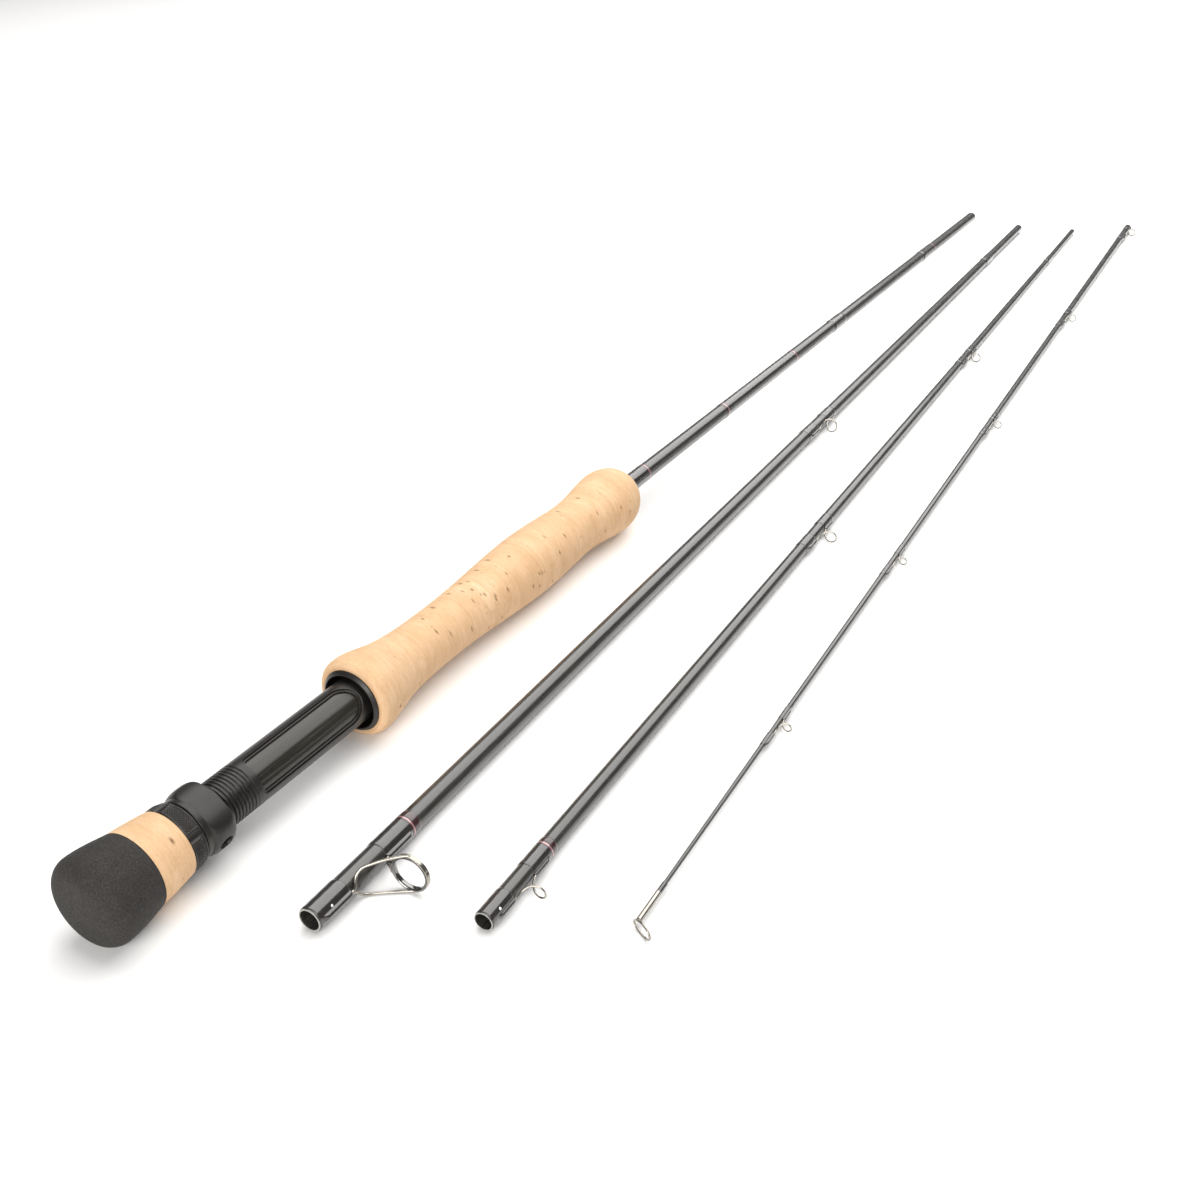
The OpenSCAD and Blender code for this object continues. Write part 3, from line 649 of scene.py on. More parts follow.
def window_loop(d, counts, s0=55.0, s1=93.5, w=5.15, rc=1.6):
    """The window's outline grown by d: rear edge, right side, front arc, left side. Points are (u, s)."""
    n_t, n_s = counts
    W, C = w + d, rc + d
    k = math.radians(45)
    left = -W + C - C * math.sin(k), s0 - d + C - C * math.cos(k)
    # rear: corner arc, straight, corner arc
    na = max(2, n_t // 6)
    rear = []
    for j in range(na):
        a = math.radians(225 + 45 * j / na)
        rear.append((-W + C + C * math.cos(a), s0 - d + C + C * math.sin(a)))
    for j in range(n_t - 2 * na):
        rear.append((-W + C + (2 * W - 2 * C) * j / (n_t - 2 * na), s0 - d))
    for j in range(na):
        a = math.radians(270 + 45 * j / na)
        rear.append((W - C + C * math.cos(a), s0 - d + C + C * math.sin(a)))
    # right: corner arc, straight, arc of the front semicircle up to 45 degrees
    nb = max(3, n_s // 8)
    right = []
    for j in range(nb):
        a = math.radians(315 + 45 * j / nb)
        right.append((W - C + C * math.cos(a), s0 - d + C + C * math.sin(a)))
    m = n_s - 2 * nb
    for j in range(m):
        right.append((W, s0 - d + C + (s1 - (s0 - d + C)) * j / m))
    for j in range(nb):
        a = math.radians(45 * j / nb)
        right.append((W * math.cos(a), s1 + W * math.sin(a)))
    front = [(W * math.cos(math.radians(45 + 90 * j / n_t)), s1 + W * math.sin(math.radians(45 + 90 * j / n_t))) for j in range(n_t)]
    left = [(-u, s) for u, s in right]
    left = left[::-1]
    start = (-W * math.cos(math.radians(45)), s1 + W * math.sin(math.radians(45)))
    left = [start] + left[:-1]
    return np.array(rear + right + front + left)


def barrel():
    n_t, n_s = 24, 64
    half = 60.0
    sa, sb = 53.4, 102.2
    mult = int(round(360 / (2 * half) * n_t))     # columns round the whole tube
    dth = 2 * PI / mult
    V, F = [], []

    def add(pts):
        base = len(V)
        V.extend(pts)
        return np.arange(base, base + len(pts))

    def strip(loops):
        for A, B in zip(loops[:-1], loops[1:]):
            m = len(A)
            for j in range(m):
                F.append((A[j], A[(j + 1) % m], B[(j + 1) % m], B[j]))

    def on_tube(r, ang, s):
        return [(r * math.cos(t), r * math.sin(t), q) for t, q in zip(ang, s)]

    # rectangular loop of the patch in (angle, station)
    hs = math.radians(half)
    rect = [(-hs + 2 * hs * j / n_t, sa) for j in range(n_t)] + [(hs, sa + (sb - sa) * j / n_s) for j in range(n_s)] \
        + [(hs - 2 * hs * j / n_t, sb) for j in range(n_t)] + [(-hs, sb - (sb - sa) * j / n_s) for j in range(n_s)]
    rect = np.array(rect)
    rim = [(0.0, BI), (0.0, 6.72), (0.0, 6.93), (0.04, 7.02), (0.12, 7.06), (0.30, 7.06), (0.58, 7.06), (0.68, 7.08), (0.73, 7.16),
           (0.75, 7.30), (0.77, 7.42), (0.83, 7.485), (0.92, 7.5), (1.10, 7.5)]
    for turn_ in (0.0, PI):
        loops = []
        for d, r in rim:
            w = window_loop(d, (n_t, n_s))
            # the cut's sides run straight out from the tube, so the angle comes from asin
            ang = np.arcsin(np.clip(w[:, 0] / max(r, 7.0), -1, 1)) + turn_
            loops.append(add(on_tube(r, ang, w[:, 1])))
        w = window_loop(1.10, (n_t, n_s))
        inner = np.stack([np.arcsin(w[:, 0] / 7.5), w[:, 1]], -1)
        for t in (0.35, 0.7, 1.0):
            q = inner * (1 - t) + rect * t
            loops.append(add(on_tube(BR, q[:, 0] + turn_, q[:, 1])))
        strip(loops)
        # underside of the patch
        w = window_loop(0.0, (n_t, n_s))
        inner = np.stack([np.arcsin(w[:, 0] / 7.0), w[:, 1]], -1)
        under = [loops[0]]
        for t in (0.5, 1.0):
            q = inner * (1 - t) + rect * t
            under.append(add(on_tube(BI, q[:, 0] + turn_, q[:, 1])))
        strip([u for u in under][::-1])
    # strips between the patches, outside and inside
    cols = mult // 2 - n_t
    for turn_ in (0.0, PI):
        for r in (BR, BI):
            ang = hs + turn_ + dth * np.arange(cols + 1)
            ss = sa + (sb - sa) * np.arange(n_s + 1) / n_s
            g = np.array([add(on_tube(r, ang, [s] * (cols + 1))) for s in ss])
            for i in range(n_s):
                for j in range(cols):
                    F.append((g[i][j], g[i][j + 1], g[i + 1][j + 1], g[i + 1][j]))
    # threaded end
    th = -hs + dth * np.arange(mult)
    pitch, depth = 1.3, 0.42
    t0, t1 = 25.6, 52.9
    fine = np.arange(t0, t1 + 1e-6, 0.085)
    S = np.concatenate([[16.1, 16.25, 16.6, 20, 24, 25.3], fine, [53.15]])
    R = np.full((len(S), mult), BR)
    ph = ((S[:, None] - t0) / pitch - (th[None, :] / (2 * PI))) % 1.0
    dist = np.abs(ph - 0.5) * pitch
    prof = np.clip((0.42 - dist) / 0.26, 0, 1)
    prof = prof * prof * (3 - 2 * prof)
    run = np.clip((S - t0) / 1.2, 0, 1) * np.clip((t1 - S) / 1.2, 0, 1)
    R = R - depth * prof * run[:, None]
    # crests very slightly rounded
    R = R - 0.03 * (1 - np.clip((dist - 0.42) / 0.2, 0, 1)) * (prof < 0.01) * run[:, None]
    R[0] -= 0.15
    rows = [add([(R[i, j] * math.cos(th[j]), R[i, j] * math.sin(th[j]), S[i]) for j in range(mult)]) for i in range(len(S))]
    rows.append(add(on_tube(BR, th, [sa] * mult)))
    strip(rows)
    inn = [rows[0], add(on_tube(BI, th, [16.1] * mult)), add(on_tube(BI, th, [35.0] * mult)), add(on_tube(BI, th, [sa] * mult))]
    strip(inn[::-1])
    # front end
    fr = [add(on_tube(BR, th, [sb] * mult)), add(on_tube(BR, th, [108.0] * mult)), add(on_tube(BR, th, [114.8] * mult)),
          add(on_tube(BR - 0.15, th, [115.0] * mult)), add(on_tube(BI, th, [115.0] * mult)), add(on_tube(BI, th, [sb] * mult))]
    strip(fr)
    verts = np.array(V)
    # weld the patches together
    key = {}
    remap = np.zeros(len(verts), int)
    uniq = []
    for i, v in enumerate(np.round(verts, 4)):
        t = tuple(v + 0.0)
        if t not in key:
            key[t] = len(uniq)
            uniq.append(verts[i])
        remap[i] = key[t]
    faces = []
    for f in F:
        g = [int(remap[i]) for i in f]
        g = [x for i, x in enumerate(g) if x != g[i - 1]]
        if len(set(g)) >= 3:
            faces.append(g)
    verts = np.array(uniq)
    a = math.radians(-43.5)
    verts = verts @ np.array([[math.cos(a), math.sin(a), 0], [-math.sin(a), math.cos(a), 0], [0, 0, 1]])
    return finish_mesh("seat_tube", verts, faces, ALU, 0, nodes_=("seat_barrel",), slot="anodised_aluminium", angle=32)


barrel()
revolve("carbon_sleeve", rounded([(5.3, 18), (6.5, 18), (6.5, 114), (5.3, 114)], 0.1), CARBON, 0, seg=128,
        nodes_=("seat_insert",), slot="carbon_insert")

hood = rounded([(9.25, 100.6), (9.42, 100.4), (9.7, 100.52), (10.5, 101.32), (10.6, 101.6), (10.6, 118), (4.0, 118), (4.0, 116.2),
                (7.52, 116.2), (7.52, 111.5), (8.9, 111.5), (9.25, 110.8)], 0.09)
revolve("fixed_hood_turned", hood, ALU, 0, seg=128, nodes_=("fixed_hood",), slot="anodised_aluminium")


def boolean(ob, cutters, op="DIFFERENCE"):
    for c in cutters:
        md = ob.modifiers.new("cut", "BOOLEAN")
        md.operation = op
        md.solver = "EXACT"
        md.object = c
    dg = bpy.context.evaluated_depsgraph_get()
    me = bpy.data.meshes.new_from_object(ob.evaluated_get(dg))
    ob.modifiers.clear()
    ob.data = me
    for c in cutters:
        bpy.data.objects.remove(c)
    return ob


def loose(verts, faces, n=0):
    me = bpy.data.meshes.new("cutter")
    me.from_pydata(rolled(verts, n), [], faces)
    bm = bmesh.new()
    bm.from_mesh(me)
    bmesh.ops.recalc_face_normals(bm, faces=bm.faces)
    bm.to_mesh(me)
    bm.free()
    ob = bpy.data.objects.new("cutter", me)
    bpy.context.scene.collection.objects.link(ob)
    ob.matrix_world = M[n]
    bpy.context.view_layer.update()
    return ob


def sliding_hood():
    seg = 288
    th = np.arange(seg) * 2 * PI / seg
    a0, b0 = 31.0, 41.1
    prof = rounded([(9.28, a0), (9.45, a0 + 0.18), (9.45, a0 + 1.65), (9.3, a0 + 1.78), (9.3, a0 + 1.9), (9.5, a0 + 2.05), (9.9, a0 + 2.7),
                    (10.3, a0 + 4.05), (10.4, a0 + 5.4), (10.37, b0 - 2.6), (10.24, b0 - 1.5), (9.98, b0 - 0.62), (9.65, b0 - 0.12), (9.45, b0)], 0.12, close=False)
    dense = [prof[0]]
    for p in prof[1:]:
        q = dense[-1]
        m = max(1, int(np.linalg.norm(p - q) / 0.22))
        for j in range(1, m + 1):
            dense.append(q + (p - q) * j / m)
    prof = np.array(dense)
    S, Rp = prof[:, 1], prof[:, 0]
    side = -6 * np.abs(np.sin(th)) + np.sqrt(14.72 ** 2 - 36 * np.cos(th) ** 2)
    A, B = np.repeat(Rp[:, None], seg, 1), np.repeat(side[None, :], len(S), 0)
    # ends of the lobed part draw in a little all round
    drawn = 0.32 * np.clip((S - (b0 - 0.9)) / 0.9, 0, 1) ** 2
    B = B - drawn[:, None]
    k = 0.13
    lobed = -k * np.log(np.exp(-(A - 9) / k) + np.exp(-(B - 9) / k)) + 9
    mixf = np.clip((S - (a0 + 1.72)) / 0.3, 0, 1)[:, None]
    R = A * (1 - mixf) + np.minimum(lobed, A) * mixf
    lower = np.maximum(R, 8.55)
    R = lower
    RR = np.vstack([np.full((1, seg), 7.57), R, np.full((1, seg), 7.57)])
    SS = np.concatenate([[a0], S, [b0]])
    P = polar(RR, SS, th).reshape(-1, 3)
    c, s = math.cos(math.radians(23)), math.sin(math.radians(23))
    rot = np.array([[c, s, 0], [-s, c, 0], [0, 0, 1]])
    ob = finish_mesh("sliding_hood_body", P @ rot, grid_faces(len(RR), seg, wrap_rows=True), ALU, 0, body="sliding_hood",
                     nodes_=("sliding_hood",), slot="anodised_aluminium")
    cuts = []
    # foot pockets, open at the front
    n = 40
    for m in (1, -1):
        xs = math.sqrt(9.0 ** 2 - 4.4 ** 2)
        arc = [(9.0 * math.cos(t), 9.0 * math.sin(t)) for t in np.linspace(-math.asin(4.4 / 9.0), math.asin(4.4 / 9.0), n)]
        outline = [(5.0, -4.4)] + arc + [(5.0, 4.4)]
        v = [(m * x, y, z) for z in (a0 + 3.6, b0 + 3) for x, y in outline]
        L = len(outline)
        f = [list(range(L))[::-1], list(range(L, 2 * L))] + [[i, (i + 1) % L, (i + 1) % L + L, i + L] for i in range(L)]
        cuts.append(loose(np.array(v) @ rot, f))
    # round holes with a small countersink
    for m in (1, -1):
        pr = [(2.1, 6.5), (2.1, 10.02), (2.45, 10.55), (2.45, 13)]
        sg = 56
        t = np.arange(sg) * 2 * PI / sg
        v = [(m * x, r * math.cos(q), 36.9 + r * math.sin(q)) for r, x in pr for q in t]
        f = grid_faces(len(pr), sg) + [list(range(sg)), list(range((len(pr) - 1) * sg, len(pr) * sg))]
        cuts.append(loose(np.array(v) @ rot, f))
    boolean(ob, cuts)
    ob.data.shade_smooth()
    ob.data.set_sharp_from_angle(angle=math.radians(34))
    return ob


sliding_hood()
revolve("washer", rounded([(7.57, 30.6), (9.0, 30.6), (9.0, 30.98), (7.57, 30.98)], 0.06), WASHER, 0, seg=96, body="sliding_hood",
        nodes_=("thrust_washer",), slot="nylon_washer")


def lock_ring():
    seg = 1080
    th = np.arange(seg) * 2 * PI / seg
    a0, b0 = 25.3, 30.55
    prof = rounded([(10.12, a0), (10.45, a0 + 0.3), (10.45, a0 + 3.0), (9.88, b0 - 0.3), (9.5, b0)], 0.14, close=False)
    dense = [prof[0]]
    for p in prof[1:]:
        q = dense[-1]
        m = max(1, int(np.linalg.norm(p - q) / 0.075))
        for j in range(1, m + 1):
            dense.append(q + (p - q) * j / m)
    prof = np.array(dense)
    S, Rp = prof[:, 1], prof[:, 0]
    R = np.repeat(Rp[:, None], seg, 1)
    # five smooth flutes
    flute = np.full(seg, 99.0)
    near = np.full(seg, 99.0)
    for i in range(5):
        d = (th - math.radians(42.6 + 72 * i) + PI) % (2 * PI) - PI
        sn = 12.1 * np.sin(d)
        hit = (np.abs(sn) < 2.2) & (np.cos(d) > 0)
        root = 12.1 * np.cos(d) - np.sqrt(np.clip(2.2 ** 2 - sn ** 2, 0, None))
        flute = np.where(hit, np.minimum(flute, root), flute)
        near = np.minimum(near, np.abs(d) * 10.4)
    # diamond knurl on the panels between, faded at the panel's edges
    count = 80
    u = th[None, :] * count / (2 * PI)
    v = (S[:, None] - a0) / (2 * PI * 10.45 / count) / 1.0
    w = lambda x: np.abs((x % 1.0) - 0.5) * 2
    pyramid = np.minimum(w(u + v), w(u - v))
    fade = np.clip((near[None, :] - 1.75) / 0.35, 0, 1) * np.clip((S[:, None] - a0 - 0.5) / 0.2, 0, 1) * np.clip((b0 - 0.55 - S[:, None]) / 0.2, 0, 1)
    R = R - 0.24 * (1 - np.clip(pyramid * 1.25, 0, 1)) * fade
    k = 0.05
    F_ = np.repeat(flute[None, :], len(S), 0)
    R = np.where(F_ < 50, -k * np.log(np.exp(-(R - 9) / k) + np.exp(-(np.minimum(F_, 14) - 9) / k)) + 9, R)
    RR = np.vstack([np.full((1, seg), 7.57), np.full((1, seg), 9.0), R, np.full((1, seg), 9.0), np.full((1, seg), 7.57)])
    SS = np.concatenate([[a0, a0], S, [b0, b0]])
    kn = np.vstack([np.zeros((2, seg)), (1 - pyramid) * fade, np.zeros((2, seg))]).reshape(-1)
    return finish_mesh("lock_ring_knurled", polar(RR, SS, th).reshape(-1, 3), grid_faces(len(RR), seg, wrap_rows=True), ALU, 0,
                       body="lock_ring", nodes_=("lock_ring",), slot="anodised_aluminium", angle=55)


lock_ring()


# ------------------------------------------------------------------ blanks
def blank(name, n, wall, node, socket=0.0, depth=0.0, mouth_far=False, seg=72):
    t = TAB[n]
    a, b = t[0, 0], t[-1, 0]
    S = np.unique(np.concatenate([np.arange(a, b, 7.0), t[:, 0], [b]]))
    out = [(rad(n, s), s) for s in S]
    e = 0.06
    if socket:
        body = [(rad(n, a) - e, a)] + [(rad(n, a + e), a + e)] + out[1:-1] + [(rad(n, b), b - e), (rad(n, b) - e, b)]
        body += [(rad(n, b) - wall, b), (rad(n, b) - wall, b - 6), (rad(n, a + depth + 8) - wall, a + depth + 8),
                 (rad(n, a + depth + 8) - wall, a + depth), (socket, a + depth), (socket, a + 20), (socket, a + 0.12), (socket + 0.08, a)]
    else:
        body = [(rad(n, a) - e, a)] + [(rad(n, a + e), a + e)] + out[1:-1] + [(rad(n, b), b - e), (rad(n, b) - e, b)]
        body += [(rad(n, b) - wall, b), (rad(n, b) - wall, b - 6), (rad(n, a) - wall, a + 6), (rad(n, a) - wall, a)]
    return revolve(name, body, GRAPHITE, n, seg=seg, nodes_=(node,), slot="graphite_blank")


def pale_mouth(ob, s0, s1):
    """The sawn end of a blank, bare under its gloss coat."""
    me = ob.data
    me.materials.append(RIM)
    for p in me.polygons:
        if s0 <= p.center.z * 1000 <= s1 and abs(p.normal.z) > 0.6:
            p.material_index = 1


blank("butt_blank_tube", 0, 0.65, "butt_blank", seg=96)
pale_mouth(blank("blank_2_tube", 1, 0.9, "blank_2", 3.0, 62, seg=96), -0.1, 0.1)
pale_mouth(blank("blank_3_tube", 2, 0.5, "blank_3", 2.45, 58, seg=80), -0.1, 0.1)
# tip: solid at the tip, hollow towards its socket, which faces the far end
S4 = np.unique(np.concatenate([np.arange(0.8, 722.5, 7.0), T4[:, 0], [722.4]]))
tip = [(0, 0.8)] + [(rad(3, s), s) for s in S4[S4 < 722.41]] + [(2.05, 722.5), (1.7, 722.5), (1.65, 722.3), (1.65, 700), (1.65, 666.5), (1.35, 666.5), (0.7, 300), (0, 300)]
revolve("tip_blank_tube", tip, GRAPHITE, 3, seg=64, close=False, nodes_=("tip_blank",), slot="graphite_blank")


# ------------------------------------------------------------------ wraps
def wrap(name, n, a, b, up, ea, eb, nodes_, feet=(), mat=None, seg=120, slot="epoxied_wrap", line=None, join_only=False):
    """Thread wrap from a to b with rounded, tapered epoxy ends; feet are (from, to, wire radius, extra)."""
    step = 0.3 if feet else 0.45
    S = list(np.arange(a, b, step)) + [b]
    for e, s0, sg in ((ea, a, 1), (eb, b, -1)):
        if e > 0:
            S += [s0 + sg * e * q for q in (0.08, 0.2, 0.35, 0.5, 0.7, 0.85, 1.0, 1.2)]
        else:
            S += [s0 + sg * q for q in (0.04, 0.1, 0.2)]
    S = np.unique(np.round(np.clip(S, a, b), 4))
    th = np.arange(seg) * 2 * PI / seg
    g = np.ones(len(S))
    if ea > 0:
        q = np.clip((S - a) / ea, 0, 1)
        g *= 0.16 + 0.84 * np.sqrt(1 - (1 - q) ** 2)
    if eb > 0:
        q = np.clip((b - S) / eb, 0, 1)
        g *= 0.16 + 0.84 * np.sqrt(1 - (1 - q) ** 2)
    base = rad(n, S) + up * g
    if ea <= 0:
        base[0] -= 0.04
    if eb <= 0:
        base[-1] -= 0.04
    wob = 0.010 * np.sin(S * 1.7 + n) * (g > 0.9)
    R = np.repeat((base + wob)[:, None], seg, 1)
    for fa, fb, w, extra in feet:
        rx = rad(n, (fa + fb) / 2) + w + 0.03
        cw = w + 0.17 + extra
        f = np.clip((S - (fa - 2.1)) / 2.0, 0, 1) if fa > a + 0.5 else np.ones(len(S))
        f = f * (np.clip(((fb + 2.1) - S) / 2.0, 0, 1) if fb < b - 0.5 else 1)
        ends = np.clip((S - a) / max(ea, 0.01), 0, 1) * np.clip((b - S) / max(eb, 0.01), 0, 1)
        f = f * f * (3 - 2 * f) * (0.55 + 0.45 * np.sqrt(np.clip(ends, 0, 1)))
        for t in np.linspace(0.1, 1, 12):
            c = t * f * rx
            r = base * (1 - t * f) + cw * t * f
            root = r[:, None] ** 2 - (c[:, None] * np.sin(th)[None, :]) ** 2
            ray = c[:, None] * np.cos(th)[None, :] + np.sqrt(np.clip(root, 0, None))
            ray = np.where((root > 0) & ((np.cos(th)[None, :] > 0) | (c[:, None] < r[:, None])), ray, 0)
            R = np.maximum(R, ray)
        # the ridge over the foot falls back to the wrap just beside the wire
        ha = math.asin(min(0.9, cw / rx))
        th_c = np.abs((th + PI) % (2 * PI) - PI)
        side = np.clip((1.5 * ha - th_c) / (0.45 * ha), 0, 1)
        lower = (base + wob)[:, None]
        R = lower + (R - lower) * (side * side * (3 - 2 * side))[None, :]
    ri = rad(n, S)
    P = polar(R, S, th).reshape(-1, 3)
    inner = polar(np.array([[rad(n, b) + 0.01], [rad(n, a) + 0.01]]).repeat(seg, 1), np.array([b, a]), th).reshape(-1, 3)
    V = np.vstack([P, inner])
    F = grid_faces(len(S) + 2, seg, wrap_rows=True)
    att = {}
    if line is not None:
        l0, l1 = line
        v = ((S >= l0 - 1e-6) & (S <= l1 + 1e-6)).astype(float)
        att["line"] = np.concatenate([np.repeat(v, seg), np.zeros(2 * seg)])
    if join_only:
        return V, F, att
    return finish_mesh(name, V, F, mat or WRAP, n, nodes_=nodes_, slot=slot, attrs=att, angle=50)


def several(name, n, parts, mat, nodes_, slot, angle=50):
    vs, fs, at, base = [], [], [], 0
    for v, f, a in parts:
        vs.append(v)
        fs += [[i + base for i in q] for q in f]
        at.append(a.get("line", np.zeros(len(v))))
        base += len(v)
    return finish_mesh(name, np.vstack(vs), fs, mat, n, nodes_=nodes_, slot=slot, attrs={"line": np.concatenate(at)}, angle=angle)


wrap("grip_wrap_thread", 0, 270.45, 286.4, 0.20, 0, 0, ("grip_wrap",), seg=96)
wrap("label_wrap_thread", 0, 362.0, 437.0, 0.12, 0, 0, ("decal_wrap",), seg=96)
wrap("mid_wrap_thread", 0, 488, 503, 0.24, 1.4, 1.4, ("butt_mid_wrap",), seg=96)
wrap("spigot_1_thread", 0, 628, 646, 0.26, 1.4, 0, ("spigot_wrap_1",), seg=96)


def trims(n, rows):
    out = []
    for a, b, up, ea, eb, line in rows:
        out.append(wrap("", n, a, b, up, ea, eb, (), seg=96, line=line, join_only=True))
    return out


several("trim_bands_1", 0, trims(0, [
    (286.45, 288.2, 0.19, 0, 0.6, (286.9, 287.3)), (359.6, 361.95, 0.15, 0.7, 0, (361.0, 361.4)),
    (437.05, 439.6, 0.15, 0, 0.7, (437.6, 438.0)), (646.05, 649, 0.24, 0, 0.8, (647.0, 647.5))]), TRIM, ("trim_rings_1",), "trim_thread")

wrap("socket_2_thread", 1, 0.4, 12.8, 0.26, 0.7, 1.0, ("socket_wrap_2",), feet=((3.2, 13.6, 0.42, 0.13),))
wrap("guide_2_thread", 1, 28.6, 40.6, 0.26, 1.0, 0, ("guide_wrap_2",), feet=((27, 38.4, 0.42, 0.10),))
several("trim_bands_2", 1, trims(1, [(40.65, 42.0, 0.24, 0, 0, (41.2, 41.6)), (42.05, 44.8, 0.22, 0, 1.6, (99, 99))]),
        TRIM, ("trim_rings_2",), "trim_thread")
several("snake_threads_2", 1, [
    wrap("", 1, 344.5, 355.2, 0.2, 1.0, 0.8, (), feet=((348.3, 356, 0.32, 0.0),), join_only=True),
    wrap("", 1, 366.3, 377, 0.2, 0.8, 1.0, (), feet=((365.5, 373.2, 0.32, 0.0),), join_only=True)], WRAP, ("snake_wraps_2",), "epoxied_wrap")
wrap("spigot_2_thread", 1, 642, 657, 0.24, 1.3, 1.3, ("spigot_wrap_2",))

wrap("socket_3_thread", 2, 0.4, 10.6, 0.23, 0.7, 0.9, ("socket_wrap_3",), feet=((4.8, 11.2, 0.32, 0.0),))
wrap("guide_3_thread", 2, 21.2, 30.4, 0.23, 0.9, 0, ("guide_wrap_3",), feet=((20.6, 27.4, 0.32, 0.0),))
several("trim_bands_3", 2, trims(2, [(30.45, 31.7, 0.22, 0, 0, (30.9, 31.25)), (31.75, 33.8, 0.20, 0, 1.2, (99, 99))]),
        TRIM, ("trim_rings_3",), "trim_thread")
rows3 = [(226, 235.4, 0.2, (228.9, 236)), (245.6, 255, 0.2, (245, 252.1)), (446, 455, 0.18, (448.6, 455.6)), (464.4, 473.4, 0.18, (463.8, 470.8))]
several("snake_threads_3", 2, [wrap("", 2, a, b, up, 0.9, 0.9, (), feet=((f[0], f[1], 0.32, 0.0),), join_only=True) for a, b, up, f in rows3],
        WRAP, ("snake_wraps_3",), "epoxied_wrap")
wrap("spigot_3_thread", 2, 642, 655, 0.20, 1.2, 1.2, ("spigot_wrap_3",))

wrap("socket_4_thread", 3, 713.4, 722.1, 0.2, 0.8, 0.6, ("socket_wrap_4",), feet=((712.8, 719.6, 0.32, 0.0),))
rows4 = [(84.5, 91.6, (86.9, 92.2)), (99.8, 106.8, (99.2, 104.4)), (202, 210, (204.8, 210.6)), (219.6, 227.4, (219, 224.8)),
         (345, 353, (347.8, 353.6)), (363.4, 371, (362.8, 368.6)), (507, 515.4, (510.2, 516)), (527, 535, (526.4, 532.2))]
p4 = [wrap("", 3, a, b, 0.15, 0.7, 0.7, (), feet=((f[0], f[1], 0.27, -0.03),), join_only=True, seg=80) for a, b, f in rows4]
p4.append(wrap("", 3, 690, 702.2, 0.2, 0.8, 0.8, (), feet=((695.8, 702.8, 0.32, 0.0),), join_only=True, seg=80))
several("snake_threads_4", 3, p4, WRAP, ("snake_wraps_4",), "epoxied_wrap")
wrap("tip_top_thread", 3, 12.05, 16.4, 0.2, 0, 1.2, ("tip_top_wrap",), seg=80)


# ------------------------------------------------------------------ guides
def snake_path(n, m, g, o, q, f, w):
    r0 = rad(n, m - g / 2 - f / 2) + w + 0.03
    r1 = rad(n, m + g / 2 + f / 2) + w + 0.03
    c = o - w - q
    return catmull([[r0, 0, m - g / 2 - f], [r0, 0, m - g / 2 - f / 2], [r0, 0, m - g / 2 - 0.1],
                    [r0 + 0.16 * (c - r0), -0.42 * q, m - 0.28 * g], [r0 + 0.58 * (c - r0), -0.9 * q, m - 0.13 * g],
                    [c + 0.3 * q, -0.95 * q, m - 0.05 * g], [c + 0.88 * q, -0.5 * q, m - 0.02 * g], [c + q, 0, m],
                    [c + 0.88 * q, 0.5 * q, m + 0.02 * g], [c + 0.3 * q, 0.95 * q, m + 0.05 * g],
                    [r0 + 0.58 * (c - r0), 0.9 * q, m + 0.13 * g], [r0 + 0.16 * (c - r0), 0.42 * q, m + 0.28 * g],
                    [r1, 0, m + g / 2 + 0.1], [r1, 0, m + g / 2 + f / 2], [r1, 0, m + g / 2 + f]], 9)


def snakes(name, n, rows, node):
    parts = []
    for m, g, o, q, f, w in rows:
        parts.append(tube(snake_path(n, m, g, o, q, f, w), w, 16))
    v, f = join(parts)
    return finish_mesh(name, v, f, WIRE, n, nodes_=(node,), slot="guide_wire", angle=60)


snakes("snake_guide_2_wire", 1, [(360.75, 10.5, 9.9, 3.35, 7.5, 0.32)], "snake_guide_2")
snakes("snake_guides_3_wire", 2, [(15.9, 10.6, 9.7, 2.5, 5, 0.32), (240.5, 10.2, 9.4, 2.5, 6, 0.32), (459.7, 9.4, 7.9, 2.3, 6, 0.32)], "snake_guides_3")
snakes("snake_guides_4_wire", 3, [(95.7, 8.2, 5.5, 1.75, 4.5, 0.27), (214.8, 9.6, 5.7, 1.8, 5, 0.27), (358.2, 10.4, 6.2, 1.9, 5, 0.27),
                                  (521.2, 11.6, 6.8, 2.1, 5, 0.27), (707.8, 11.2, 7.4, 2.3, 6, 0.32)], "snake_guides_4")

# stripping guide
GC, LEAN = np.array([14.35, 0, 25.1]), math.radians(-2)


def at_ring(v):
    v = np.asarray(v, float)
    c, s = math.cos(LEAN), math.sin(LEAN)
    return np.stack([c * v[:, 0] + s * v[:, 2], v[:, 1], -s * v[:, 0] + c * v[:, 2]], -1) + GC


def ring_solid(prof, seg=128):
    prof = rounded(prof, 0.12, 4)
    th = np.arange(seg) * 2 * PI / seg
    P = polar(np.repeat(prof[:, :1], seg, 1), prof[:, 1], th).reshape(-1, 3)
    return at_ring(P), grid_faces(len(prof), seg, wrap_rows=True)


IN_R = 4.8
v, f = ring_solid([(IN_R, -0.3), (IN_R + 0.12, -0.72), (IN_R + 0.42, -0.95), (IN_R + 0.63, -0.88), (IN_R + 0.63, 0.88), (IN_R + 0.42, 0.95),
                   (IN_R + 0.12, 0.72), (IN_R, 0.3)])
finish_mesh("stripping_ring_insert", v, f, RING, 1, nodes_=("stripping_guide_ring",), slot="ceramic_ring", angle=60)

